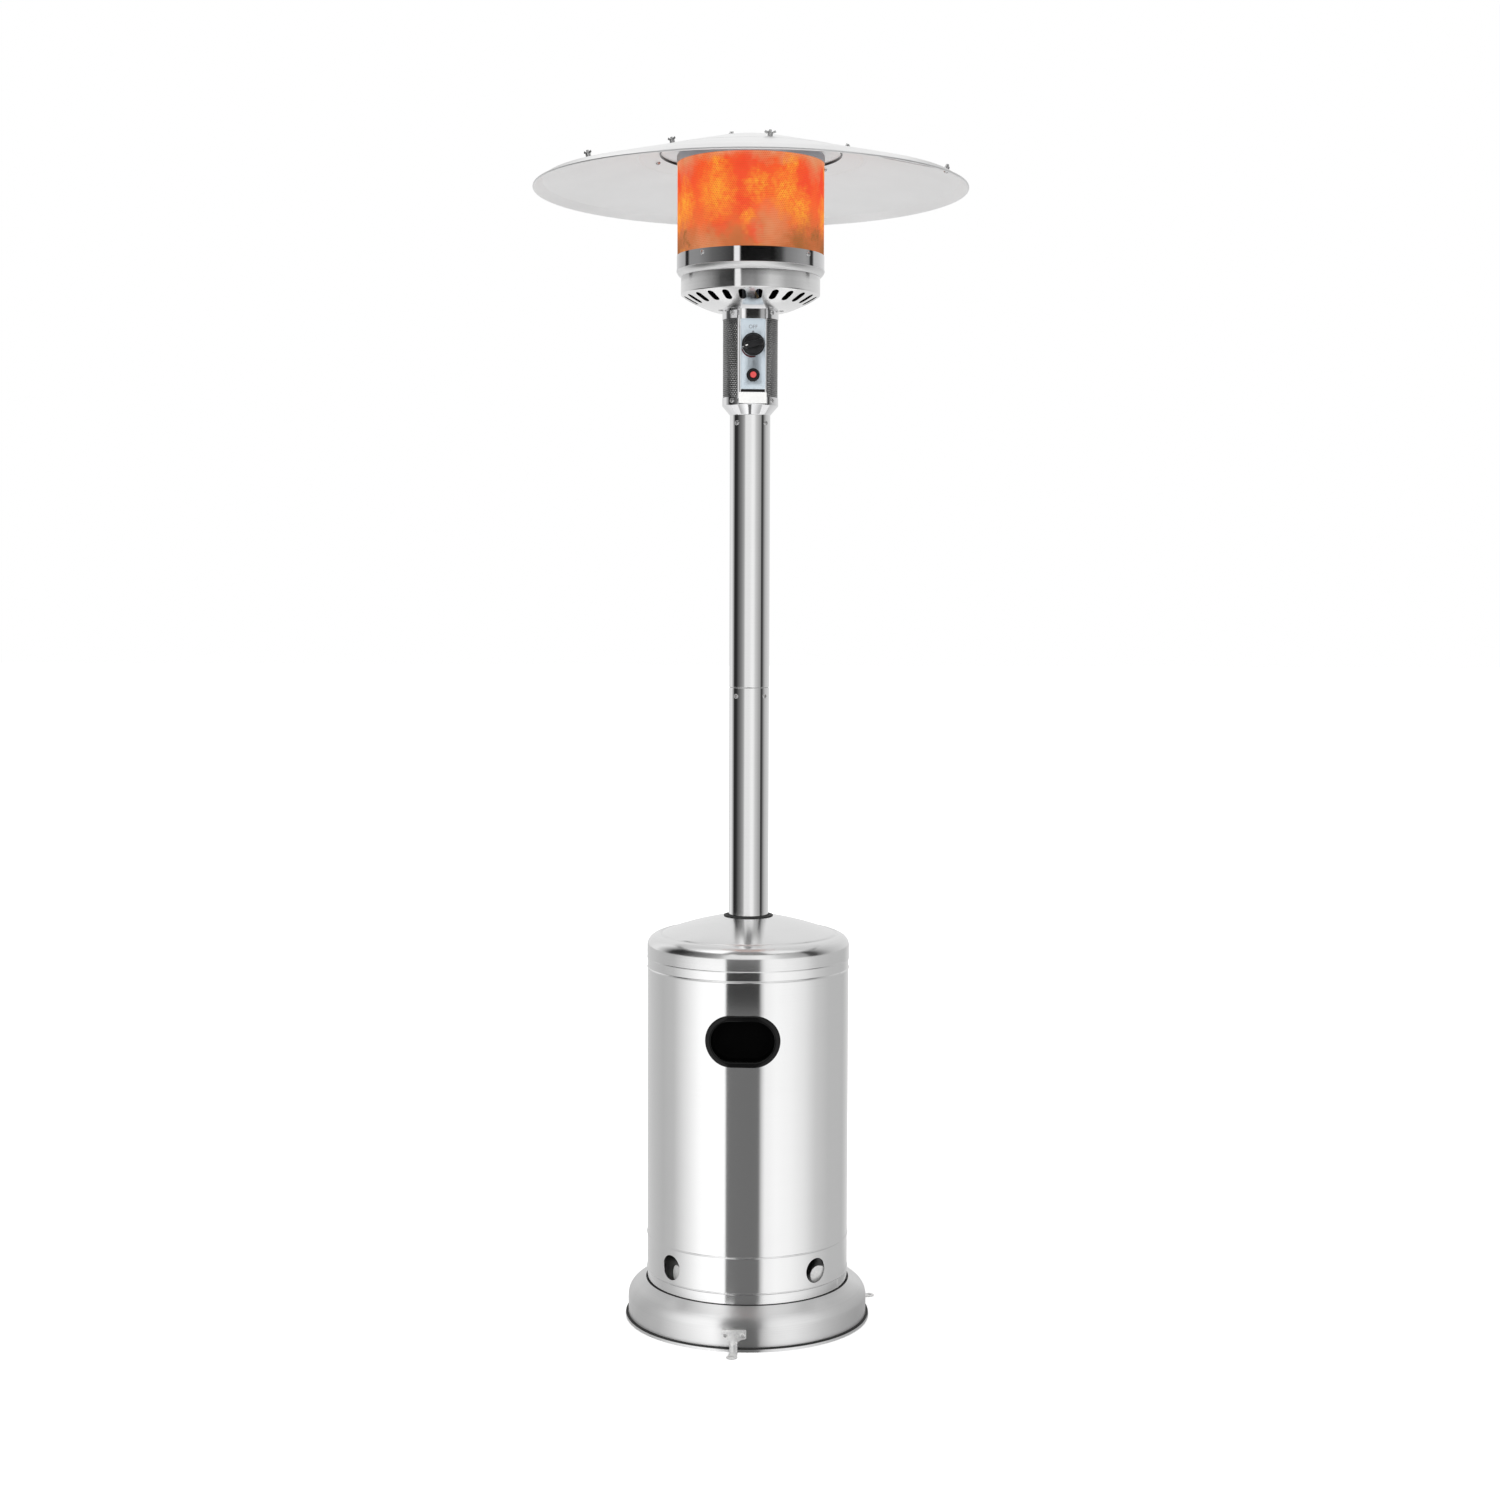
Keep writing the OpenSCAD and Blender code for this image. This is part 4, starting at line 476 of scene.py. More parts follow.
zinc_stops = [(0.1, (0.62, 0.63, 0.64)), (0.9, (0.8, 0.8, 0.81))]
heat_stops = [(0.3, (0.48, 0.52, 0.58)), (0.55, (0.56, 0.58, 0.62)), (0.7, (0.58, 0.53, 0.46)),
              (0.85, (0.5, 0.42, 0.38))]
brass_stops = [(0.3, (0.72, 0.53, 0.24)), (0.7, (0.82, 0.63, 0.32))]
copper_stops = [(0.3, (0.72, 0.36, 0.22)), (0.7, (0.82, 0.47, 0.32))]
finishes["zinc_steel"] = clouded("zinc plate", zinc_stops, (0.3, 0.42), 220, cells=True)
finishes["heated_steel"] = clouded("heated steel", heat_stops, (0.32, 0.5), 14, metal=0.6)
finishes["brass"] = clouded("brass", brass_stops, (0.22, 0.4), 60)
finishes["copper"] = clouded("copper", copper_stops, (0.25, 0.45), 60)
print(len(finishes), "finishes so far")

# %% Pale zinc
pale_zinc, tree, shader = new_finish("pale zinc plate", Metallic=0.55, Specular_IOR_Level=0.4)
place = tree.nodes.new("ShaderNodeTexCoord").outputs["Object"]
pattern = flakes(tree, place, 300.0)
tree.links.new(ramp(tree, pattern, [(0.0, 0.7), (1.0, (0.84, 0.84, 0.83))]), shader.inputs["Base Color"])
tree.links.new(spread(tree, pattern, 0.32, 0.46), shader.inputs["Roughness"])
print("Pale zinc for anchors, their screws and the vent tabs")

# %% [markdown]
# ## Plastic, rubber, print and ceramic
# Moulded parts get the pebbled skin as a bump, a slightly uneven colour, and paler edges where hands rub
# them. Printed and painted surfaces are the same with a much finer skin.


# %% Moulded finishes
def moulded(name, dark, light, rough, pebbles=1400.0, bump=0.12, specular=0.3):
    material, tree, shader = new_finish(name, Specular_IOR_Level=specular)
    skin = use(tree, skin_group, Pebbles=pebbles)
    worn = use(tree, wear_group)["Mask"]
    shades = {0: skin["Shade"], 1: worn}
    tone = add(tree, "ShaderNodeMath", shades, operation="ADD", use_clamp=True).outputs[0]
    tree.links.new(ramp(tree, tone, [(0.35, dark), (1.0, light)]), shader.inputs["Base Color"])
    tree.links.new(spread(tree, skin["Shade"], *rough), shader.inputs["Roughness"])
    height = add(tree, "ShaderNodeBump", {"Height": skin["Height"], "Strength": bump, "Distance": 0.0002})
    tree.links.new(height.outputs["Normal"], shader.inputs["Normal"])
    return material


PRINT_ROUGH, PRINT_GRAIN = (0.4, 0.55), (2600, 0.03)
finishes["black_plastic"] = moulded("black plastic", (0.008, 0.008, 0.009), (0.03, 0.03, 0.032), (0.36, 0.5),
                                    specular=0.22)
finishes["black_rubber"] = moulded("black rubber", 0.012, 0.045, (0.5, 0.7), 900, 0.2)
finishes["red_plastic"] = moulded("red plastic", (0.62, 0.06, 0.06), (0.75, 0.16, 0.15), (0.28, 0.42),
                                  bump=0.04)
finishes["control_print"] = moulded("control paint", (0.5, 0.57, 0.63), (0.62, 0.68, 0.72), (0.35, 0.5),
                                    2600, 0.04)
finishes["ceramic"] = moulded("ceramic", (0.75, 0.73, 0.68), (0.86, 0.84, 0.8), (0.25, 0.4), 600, 0.05)
white_print = moulded("white print", (0.8, 0.8, 0.79), (0.88, 0.88, 0.87), PRINT_ROUGH, *PRINT_GRAIN)
dark_print = moulded("dark print", (0.14, 0.15, 0.17), (0.2, 0.21, 0.23), PRINT_ROUGH, *PRINT_GRAIN)
dial_print = moulded("dial print", (0.045, 0.004, 0.006), (0.08, 0.01, 0.013), PRINT_ROUGH, *PRINT_GRAIN)
# Painted shade: the hand pocket's inside is near black with almost no shine, standing in for the shade of the
# deep hollow.
cavity_painted_shade = moulded("cavity painted shade", 0.0004, 0.0012, (0.6, 0.8), 900, 0.05, 0.05)
glossy_black = moulded("glossy black plastic", 0.003, 0.008, (0.1, 0.18), 500, 0.02, 0.2)
print(len(finishes), "finishes, three prints and two more blacks")

# %% [markdown]
# ## Glowing screen
# The burner heats its perforated screen until it glows, unevenly: yellow where the flame licks it, red
# between, and tan where it cools at both edges. The height picks a colour, and soft patches placed round
# the screen, their edges broken by noise, redden, gild and scorch it. The inner face stays dim so that the
# holes show.

# %% Patches of heat
glow_low, glow_high = low("emitter_screen") * MM, high("emitter_screen") * MM
screen_r = reach("emitter_screen")
TALL, PATCH_CORE, PATCH_EDGE = 0.72, 0.2, 1.5


def noise(tree, place, scale, shift, detail=4.0):
    moved = add(tree, "ShaderNodeVectorMath", {0: place, 1: shift}, operation="ADD").outputs[0]
    sockets = {"Vector": moved, "Scale": scale, "Detail": detail, "Roughness": 0.6}
    return add(tree, "ShaderNodeTexNoise", sockets).outputs["Fac"]


def times(tree, a, b):
    return add(tree, "ShaderNodeMath", {0: a, 1: b}, operation="MULTIPLY").outputs[0]


def tinted(tree, factor, under, over):
    return add(tree, "ShaderNodeMix", {0: factor, 6: under, 7: over}, data_type="RGBA").outputs[2]


def patches_at(tree, places, wobble):
    found = None
    for turn, share, size in places:
        a, r = math.radians(turn), screen_r * MM
        middle = (r * math.sin(a), -r * math.cos(a), (glow_low + (glow_high - glow_low) * share) * TALL)
        apart = add(tree, "ShaderNodeVectorMath", {0: wobble, 1: middle}, operation="DISTANCE")
        away = apart.outputs["Value"]
        near = spread(tree, away, 1.0, 0.0, size * PATCH_CORE * MM, size * PATCH_EDGE * MM)
        if found is not None:
            near = add(tree, "ShaderNodeMath", {0: found, 1: near}, operation="MAXIMUM").outputs[0]
        found = near
    return found


def all_round(places):
    mirrored = [(120 - turn, share, size) for turn, share, size in places]
    return places + mirrored + [(240 + turn, share, size) for turn, share, size in places]


print("Patches placed by turn, share of the height and size in mm")

# %% Ragged edges of the glow
glow, tree, shader = new_finish("glowing screen", Roughness=0.8, Specular_IOR_Level=0.1,
                                Emission_Strength=1.0)
place = tree.nodes.new("ShaderNodeTexCoord").outputs["Object"]
DRIFT = 0.06
churn = {"Vector": place, "Scale": 60.0, "Detail": 5.0, "Roughness": 0.7}
drift = add(tree, "ShaderNodeTexNoise", churn).outputs["Color"]
drift = add(tree, "ShaderNodeVectorMath", {0: drift, 1: (0.5, 0.5, 0.5)}, operation="SUBTRACT").outputs[0]
drift = add(tree, "ShaderNodeVectorMath", {0: drift, "Scale": DRIFT}, operation="SCALE").outputs[0]
wobble = add(tree, "ShaderNodeVectorMath", {0: place, 1: drift}, operation="ADD").outputs[0]
wobble = add(tree, "ShaderNodeVectorMath", {0: wobble, 1: (1, 1, TALL)}, operation="MULTIPLY").outputs[0]
print("Places drift by up to", DRIFT / 2, "m")

# %% Glow by height
height = add(tree, "ShaderNodeSeparateXYZ", {"Vector": place}).outputs["Z"]
level = spread(tree, height, 0, 1, glow_low, glow_high)
clouds, flecks = noise(tree, place, 34.0, (0.7, 0.2, 0.4)), noise(tree, place, 150.0, (0.1, 0.5, 0.2), 3.0)
shift = spread(tree, clouds, -0.07, 0.07, 0.3, 0.7)
ragged = add(tree, "ShaderNodeMath", {0: shift, 1: level}, operation="ADD").outputs[0]
climb = [(0.0, (0.66, 0.28, 0.12)), (0.12, (0.54, 0.2, 0.072)), (0.27, (0.62, 0.17, 0.055)),
         (0.4, (0.85, 0.15, 0.038)), (0.55, (0.94, 0.13, 0.028)), (0.84, (0.94, 0.1, 0.022)),
         (0.91, (0.82, 0.2, 0.07)), (1.0, (0.8, 0.4, 0.23))]
heat = ramp(tree, ragged, climb)
print("Glow from", round(glow_low, 3), "to", round(glow_high, 3), "m")

# %% Glowing screen finish
RED, TAN, DUSK = (0.9, 0.06, 0.024, 1), (0.7, 0.31, 0.15, 1), (0.4, 0.12, 0.035, 1)
GOLD, SCORCH, INSIDE = (0.98, 0.4, 0.035, 1), (0.26, 0.115, 0.028, 1), (0.5, 0.07, 0.018, 1)
licks = spread(tree, flecks, 0.3, 1.0, 0.36, 0.6)
for colour, amount, places in (
    (RED, 0.85, [(-4, 0.8, 36), (-58, 0.78, 28), (-6, 0.5, 22), (48, 0.72, 24), (-24, 0.4, 20),
                 (2, 0.28, 14)]),
    (TAN, 0.7, [(16, 0.33, 28), (-40, 0.12, 28), (-64, 0.22, 24), (-58, 0.97, 24), (60, 0.93, 26),
                (8, 0.98, 18)]),
    (DUSK, 0.75, [(54, 0.14, 38), (-10, 0.16, 22), (28, 0.1, 20)]),
    (GOLD, licks, [(-26, 0.61, 30), (-62, 0.56, 26), (28, 0.6, 25), (42, 0.48, 22), (5, 0.66, 18),
                   (7, 0.05, 17), (33, 0.86, 14), (-26, 0.84, 14), (-3, 0.4, 12), (-66, 0.08, 14)]),
    (SCORCH, 0.9, [(41, 0.18, 21), (57, 0.3, 10), (-58, 0.22, 6), (-45, 0.1, 5)]),
):
    heat = tinted(tree, times(tree, patches_at(tree, all_round(places), wobble), amount), heat, colour)
facing = tree.nodes.new("ShaderNodeTexCoord").outputs["Normal"]
around = add(tree, "ShaderNodeVectorMath", {0: place, 1: (1, 1, 0)}, operation="MULTIPLY").outputs[0]
outside = add(tree, "ShaderNodeVectorMath", {0: facing, 1: around}, operation="DOT_PRODUCT").outputs["Value"]
heat = tinted(tree, spread(tree, outside, 1, 0, -0.02, 0.02), heat, INSIDE)
tree.links.new(heat, shader.inputs["Emission Color"])
char = ramp(tree, clouds, [(0.3, (0.03, 0.012, 0.01)), (0.7, (0.07, 0.03, 0.02))])
tree.links.new(char, shader.inputs["Base Color"])
finishes["hot_mesh"] = glow
print("Glow tinted by", len(tree.nodes), "nodes")

# %% Inner gauze finish
ember, tree, shader = new_finish("inner gauze", Roughness=0.9, Specular_IOR_Level=0.0, Emission_Strength=1.0)
place = tree.nodes.new("ShaderNodeTexCoord").outputs["Object"]
cloud = add(tree, "ShaderNodeTexNoise", {"Vector": place, "Scale": 24.0, "Detail": 4.0}).outputs["Fac"]
red_glow = ramp(tree, cloud, [(0.35, (0.55, 0.065, 0.016)), (0.65, (0.7, 0.15, 0.032))])
char = ramp(tree, cloud, [(0.3, (0.03, 0.012, 0.01)), (0.7, (0.06, 0.03, 0.02))])
tree.links.new(red_glow, shader.inputs["Emission Color"])
tree.links.new(char, shader.inputs["Base Color"])
print("Gauze glows dim red behind the holes")

# %% [markdown]
# ## Dress the frame's own parts
# Legs, bolts, valve, burner and the other inner parts keep the shape they have in the frame, because little
# of them is ever seen. Each takes the finish that the record names for it.

# %% Dress the frame
for part in frame["record"]["subparts"]:
    node = frame["nodes"][part["node"]]
    node.data.materials.clear()
    node.data.materials.append(finishes[part["material_slot"]])

# %% [markdown]
# ## Shape helpers
# Most of the heater is sheet: a path drawn in section, given a thickness, and turned about the axis.
# Blender's own screw modifier could turn it too, but points made in code can carry beads, laps and holes.
# `rounded` puts radii on the corners of a path, `sheet` thickens it, `revolve` turns it, `loft` skins a row
# of loops, and `piece` makes the object and tells the frame which body it rides on.


# %% Paths in section
def round_place(turn, r, z):
    a = math.radians(turn)
    return r * math.sin(a), -r * math.cos(a), z


def front_place(turn, x, out, z):
    a = math.radians(turn)
    return x * math.cos(a) + out * math.sin(a), x * math.sin(a) - out * math.cos(a), z


def rounded(points, closed=False, steps=6):
    path = []
    for i, point in enumerate(points):
        here = Vector(point[:2])
        if len(point) < 3 or (not closed and i in (0, len(points) - 1)):
            path.append(here)
            continue
        radius = point[2]
        back = (Vector(points[i - 1][:2]) - here).normalized()
        on = (Vector(points[(i + 1) % len(points)][:2]) - here).normalized()
        half = math.acos(max(-1, min(1, back.dot(on)))) / 2
        middle = here + (back + on).normalized() * (radius / math.sin(half))
        first = here + back * (radius / math.tan(half)) - middle
        last = here + on * (radius / math.tan(half)) - middle
        start = math.atan2(first.y, first.x)
        sweep = (math.atan2(last.y, last.x) - start + math.pi) % math.tau - math.pi
        for k in range(steps + 1):
            a = start + sweep * k / steps
            path.append(middle + Vector((math.cos(a), math.sin(a))) * radius)
    return supported(path, closed)


def supported(path, closed=False, near=0.35):
    kept = []
    for i, point in enumerate(path):
        kept.append(point)
        if i == len(path) - 1 and not closed:
            break
        after = path[(i + 1) % len(path)]
        run = after - point
        if run.length > 6 * near:
            kept += [point + run.normalized() * near, after - run.normalized() * near]
    return kept


def sheet(path, thickness):
    other = []
    for i, point in enumerate(path):
        ways = [(path[k + 1] - path[k]).normalized() for k in (i - 1, i) if 0 <= k < len(path) - 1]
        way = (ways[0] + ways[-1]).normalized()
        other.append(point + Vector((-way.y, way.x)) * thickness / max(0.4, way.dot(ways[0])))
    return list(path) + other[::-1]


print("Paths: rounded corners with supporting points, and sheet from a path")


# %% Solids from sections
def revolve(outline, steps=180, start=0.0, end=360.0):
    whole, n = end - start >= 360, len(outline)
    stations = steps if whole else steps + 1
    turns = [start + (end - start) * i / steps for i in range(stations)]
    verts = [round_place(turn, r, z) for turn in turns for r, z in outline]
    faces = []
    for i in range(steps):
        a, b = i * n, (i + 1) % stations * n
        faces += [(a + j, a + (j + 1) % n, b + (j + 1) % n, b + j) for j in range(n)]
    if not whole:
        faces += [tuple(range(n)), tuple(range(steps * n, steps * n + n))]
    return verts, faces


def loft(loops, caps=True):
    n = len(loops[0])
    verts = [point for loop in loops for point in loop]
    faces = [(i * n + j, i * n + (j + 1) % n, (i + 1) * n + (j + 1) % n, (i + 1) * n + j)
             for i in range(len(loops) - 1) for j in range(n)]
    if caps:
        faces += [tuple(range(n)), tuple(range(len(verts) - n, len(verts)))]
    return verts, faces


def joined(*shapes):
    verts, faces = [], []
    for more_verts, more_faces in shapes:
        faces += [tuple(i + len(verts) for i in face) for face in more_faces]
        verts += list(more_verts)
    return verts, faces


print("Solids: turned, lofted and joined")


# %% Make a piece
def thickened(obj, thickness):
    thin = obj.data
    solid = obj.modifiers.new("thickness", "SOLIDIFY")
    solid.thickness = thickness * MM
    solid.offset = -1
    obj.data = bpy.data.meshes.new_from_object(obj.evaluated_get(bpy.context.evaluated_depsgraph_get()))
    obj.modifiers.clear()
    bpy.data.meshes.remove(thin)
    obj.data.name = obj.name


def piece(name, shape, finish, body="stand", covers=(), sharp=35, thickness=0.0):
    mesh = bpy.data.meshes.new(name)
    mesh.from_pydata([Vector(v) * MM for v in shape[0]], [], shape[1])
    work = bmesh.new()
    work.from_mesh(mesh)
    bmesh.ops.remove_doubles(work, verts=work.verts, dist=2e-6)
    bmesh.ops.recalc_face_normals(work, faces=work.faces)
    work.to_mesh(mesh)
    work.free()
    obj = bpy.data.objects.new(name, mesh)
    bpy.context.scene.collection.objects.link(obj)
    if thickness:
        thickened(obj, thickness)
    obj.data.shade_smooth()
    obj.data.set_sharp_from_angle(angle=math.radians(sharp))
    obj.data.materials.clear()
    obj.data.materials.append(finish)
    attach(obj, body)
    if covers:
        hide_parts(*covers)
    print(name, len(obj.data.polygons), "faces")
    return obj


print("Pieces: merged, smoothed, finished and set on a body")

# %% [markdown]
# ## Base
# A spun steel pan stands on a bright bead with a rubber edging above it. Its wall rises, rolls over a
# shoulder, slopes up to a narrow rim, and drops inside to the floor that the housing stands on. A thin black
# rubber ring fills the gap there as painted shade, the dark line of the gap. All four are turned, so each
# is one section.

# %% Base pan
housing_z = low("housing_shell")
pan_low, pan_top, pan_floor = low("base_pan"), high("base_pan"), housing_z - 0.3
RIM_GAP, RIM_LAND, PAN_T, SHOULDER_CORNER, SHOULDER_R = 2.2, 1.6, 1.2, 56.4, 28
rim_r = housing_r + RIM_GAP
pan_path = rounded([(base_r, pan_low), (base_r, SHOULDER_CORNER, SHOULDER_R),
                    (rim_r + RIM_LAND, pan_top, 1.0), (rim_r, pan_top, 0.5), (rim_r, pan_floor, 1.5),
                    (1, pan_floor)], steps=12)
piece("pan", revolve(sheet(pan_path, PAN_T), 240), finishes["pan_steel"],
      covers=["base_pan"])

# %% Edging, foot bead and painted shade ring
trim_top, trim_out = high("base_edge_trim") - 1.0, reach("base_edge_trim")
TRIM_LOW, TRIM_T, TRIM_TUCK, BEAD_TOP = 3.8, 0.6, 14, 5.6
trim_in, wall_out = base_r - TRIM_TUCK, base_r + 0.1
trim_path = rounded([(trim_in, TRIM_LOW), (wall_out, TRIM_LOW), (trim_out - 1.2, BEAD_TOP, 0.3),
                     (trim_out - 0.3, BEAD_TOP + 0.9, 0.6), (trim_out - 0.8, trim_top - 0.5, 0.8),
                     (wall_out, trim_top, 0.5), (wall_out, TRIM_LOW + TRIM_T), (trim_in, TRIM_LOW + TRIM_T)],
                    closed=True)
piece("edging", revolve(trim_path, 240), finishes["black_rubber"],
      covers=["base_edge_trim"])
foot_path = rounded([(trim_in, 0.1), (trim_out - 0.4, 0.1, 0.8), (trim_out, 1.6, 0.7),
                     (trim_out - 0.5, 2.2, 0.3), (trim_out, 3.0, 0.6), (trim_out - 0.7, BEAD_TOP - 0.1, 1.2),
                     (trim_in, TRIM_LOW - 0.2)], closed=True)
piece("foot_bead", revolve(foot_path, 240), finishes["pan_steel"])
# Painted shade: a black rubber ring fills the rim gap to give its dark line.
shade_ring_in, shade_ring_out, SHADE_RING_DEEP = housing_r + 0.45, rim_r - 0.1, 8
rim_shade_ring = rounded([(shade_ring_in, pan_top - SHADE_RING_DEEP), (shade_ring_out, pan_top - SHADE_RING_DEEP),
                    (shade_ring_out, pan_top + 0.5, 0.5), (shade_ring_in, pan_top + 0.9, 0.5)], closed=True)
piece("rim_shade_ring", revolve(rim_shade_ring, 240), finishes["black_rubber"])

# %% [markdown]
# ## Ground anchors
# Each anchor is a pressed T: a plate bent to the wall, held by two screws, and a ribbed tongue that steps
# over the edging and ends in a flat eye for a ground peg. The tongue is drawn as rows of points along its
# bent path, wide at the plate and narrow below, so plate, fillet and rib are one sheet as on the pressing.

# %% Anchor path
ANCHOR_TOP, ANCHOR_STEP, TONGUE_Z, EYE_OUT = 41, 17, 0.3, 35.5
anchor_path = rounded([(base_r + 0.2, ANCHOR_TOP), (base_r + 0.2, ANCHOR_STEP, 3), (trim_out + 0.9, 14.6, 3),
                       (trim_out + 0.9, TONGUE_Z, 3), (base_r + EYE_OUT - 3, TONGUE_Z)], steps=5)


def along_path(path, spacing):
    rows, gone = [(path[0], (path[1] - path[0]).normalized(), 0.0)], 0.0
    for a, b in zip(path, path[1:]):
        parts = max(1, round((b - a).length / spacing))
        for k in range(1, parts + 1):
            rows.append((a.lerp(b, k / parts), (b - a).normalized(), gone + (b - a).length * k / parts))
        gone += (b - a).length
    return rows


print("Anchor path", round(along_path(anchor_path, 1.5)[-1][2], 1), "mm long")

# %% Ground anchors
ANCHOR_T, PLATE_HALF, TONGUE_HALF, PLATE_H, FILLET_H = 2.0, 22.5, 7.0, 17.0, 8.0
RIB, RIB_RUN, EYE_R, EYE_HOLE, ANCHOR_TURN = 0.9, 6, 10.0, 4.5, -6.0


def anchor_row(turn, point, way, gone):
    across = [-1, -0.97, -0.6, -0.34, -0.16, 0, 0.16, 0.34, 0.6, 0.97, 1]
    fillet = min(1, max(0, (gone - PLATE_H) / FILLET_H))
    half = PLATE_HALF
    if fillet:
        half = TONGUE_HALF + (PLATE_HALF - TONGUE_HALF) * (1 - math.sqrt(1 - (1 - fillet) ** 2))
    half -= 1.5 * max(0, 1 - gone / 1.5) ** 2
    rib = RIB * min(1, max(0, (gone - PLATE_H) / RIB_RUN))
    normal = Vector((-way.y, way.x))
    outer = []
    for x in across:
        rise = ANCHOR_T * (0.75 if abs(x) == 1 else 1) + rib * math.exp(-(x * half / 2) ** 2)
        outer.append((x * half, point + normal * rise))
    inner = [(x * half, point) for x in across[::-1]]
    return [round_place(turn + math.degrees(x / base_r), p.x, p.y) for x, p in outer + inner]


def anchor_shape(turn):
    tongue = loft([anchor_row(turn, *row) for row in along_path(anchor_path, 1.5)])
    eye_path = rounded([(EYE_HOLE, 0.2, 0.5), (EYE_R, 0.2, 0.7), (EYE_R, 2.5, 0.7), (EYE_HOLE, 2.5, 0.6)],
                       closed=True, steps=3)
    eye_verts, eye_faces = revolve(eye_path, 36)
    middle = Vector(round_place(turn, base_r + EYE_OUT, 0))
    return joined(tongue, ([tuple(Vector(v) + middle) for v in eye_verts], eye_faces))


for side, turn in (("front", 0), ("right", 120), ("left", 240)):
    piece("anchor_" + side, anchor_shape(ANCHOR_TURN + turn), pale_zinc,
          covers=["anchor_bracket_" + side])

# %% [markdown]
# ## Sheet with openings
# A rolled wall with holes can't simply be turned. A boolean cut would leave ragged shading round each hole,
# so the wall is a grid of turns and heights. Where a hole lies, a patch of the grid is left out and rings
# of points lead from the patch's border to the edge of the hole.


# %% Sheet with openings
def holed_sheet(columns, rows, holes, place):
    count = len(columns)
    index, verts, faces, skipped = {}, [], [], set()

    def grid(c, r):
        key = (c % count, r)
        if key not in index:
            index[key] = len(verts)
            verts.append(place(columns[key[0]], rows[r]))
        return index[key]

    for c0, c1, r0, r1, edge in holes:
        border = [(c, r0) for c in range(c0, c1)] + [(c1, r) for r in range(r0, r1)]
        border += [(c, r1) for c in range(c1, c0, -1)] + [(c0, r) for r in range(r1, r0, -1)]
        skipped |= {(c % count, r) for c in range(c0, c1) for r in range(r0, r1)}
        ring = [grid(c, r) for c, r in border]
        flat = [(columns[c % count] + 360 * (c // count), rows[r]) for c, r in border]
        for share in (0.45, 0.8, 1.0):
            fresh = []
            for u, v in flat:
                eu, ev = edge(u, v)
                fresh.append(len(verts))
                verts.append(place(u + (eu - u) * share, v + (ev - v) * share))
            n = len(ring)
            faces += [(ring[i], ring[(i + 1) % n], fresh[(i + 1) % n], fresh[i]) for i in range(n)]
            ring = fresh
    for c in range(count):
        faces += [(grid(c, r), grid(c + 1, r), grid(c + 1, r + 1), grid(c, r + 1))
                  for r in range(len(rows) - 1) if (c, r) not in skipped]
    return verts, faces


def stadium_edge(x, y, half_w, half_h):
    straight = half_w - half_h
    if abs(y) * straight >= abs(x) * half_h and y:
        return x * half_h / abs(y), math.copysign(half_h, y)
    side = math.copysign(straight, x)
    size = math.hypot(x, y)
    dx, dy = x / size, y / size
    along = dx * side + math.sqrt(max(0, (dx * side) ** 2 - side ** 2 + half_h ** 2))
    return dx * along, dy * along


print("Sheets with round and long openings ready")

# %% [markdown]
# ## Tank housing
# One sheet rolled into a drum and lapped at a seam, with three beads pressed into it for stiffness, four
# round vents low down and one long opening for the hand pocket. It lifts along the post, so it rides its
# own body.

# %% Grid of the wall
shoulder_z, HOUSING_TURN = high("housing_shell"), -3.0
VENT_R, VENT_Z, VENT_PATCH, VENT_HALF_TURN = 23.5, housing_z + 58, 26.5, 9
HANDLE_Z, HANDLE_W, HANDLE_H, HANDLE_PATCH, HANDLE_HALF_TURN, HANDLE_CLEAR = 567.0, 118.0, 75.0, 52.0, 21, 3
BEAD_H, BEAD_OUT, SEAM_TURN, LAP_OUT, LAP_FADE = 4.2, 1.3, 63.0, 0.2, 9
bead_heights = [housing_z + 27.5, housing_z + 95, shoulder_z - 39.5]
columns = sorted([1.5 * i for i in range(240)] + [SEAM_TURN - 0.12])
bead_rows = [b + BEAD_H * (k / 10 - 0.5) for b in bead_heights for k in range(-2, 13)]
vent_rows = [VENT_Z + k * VENT_PATCH / 4 for k in range(-4, 5)]
handle_rows = [HANDLE_Z + k * HANDLE_PATCH / 6 for k in range(-6, 7)]
plain_rows = [housing_z, 220.0, 320.0, 420.0, 480.0, 650.0, shoulder_z]
rows = sorted(plain_rows + bead_rows + vent_rows + handle_rows)
print("Wall of", len(columns), "columns and", len(rows), "rows")


# %% Housing wall
def wall_place(turn, z):
    bead = sum(math.cos(math.pi * (z - b) / BEAD_H) ** 2 for b in bead_heights if abs(z - b) < BEAD_H / 2)
    lap = max(0.0, 1 - ((turn - SEAM_TURN) % 360) / LAP_FADE)
    return round_place(turn, housing_r - 0.6 + BEAD_OUT * bead + LAP_OUT * lap, z)


def wall_hole(turn, z, half_turn, hole_rows, half_w, half_h):
    start = columns.index((turn - half_turn) % 360)
    stop = columns.index((turn + half_turn) % 360)
    stop += len(columns) if stop < start else 0
    middle = columns[start] + half_turn

    def edge(u, v):
        x, y = stadium_edge(math.radians(u - middle) * housing_r, v - z, half_w, half_h)
        return middle + math.degrees(math.asin(x / housing_r)), z + y

    return start, stop, rows.index(hole_rows[0]), rows.index(hole_rows[-1]), edge


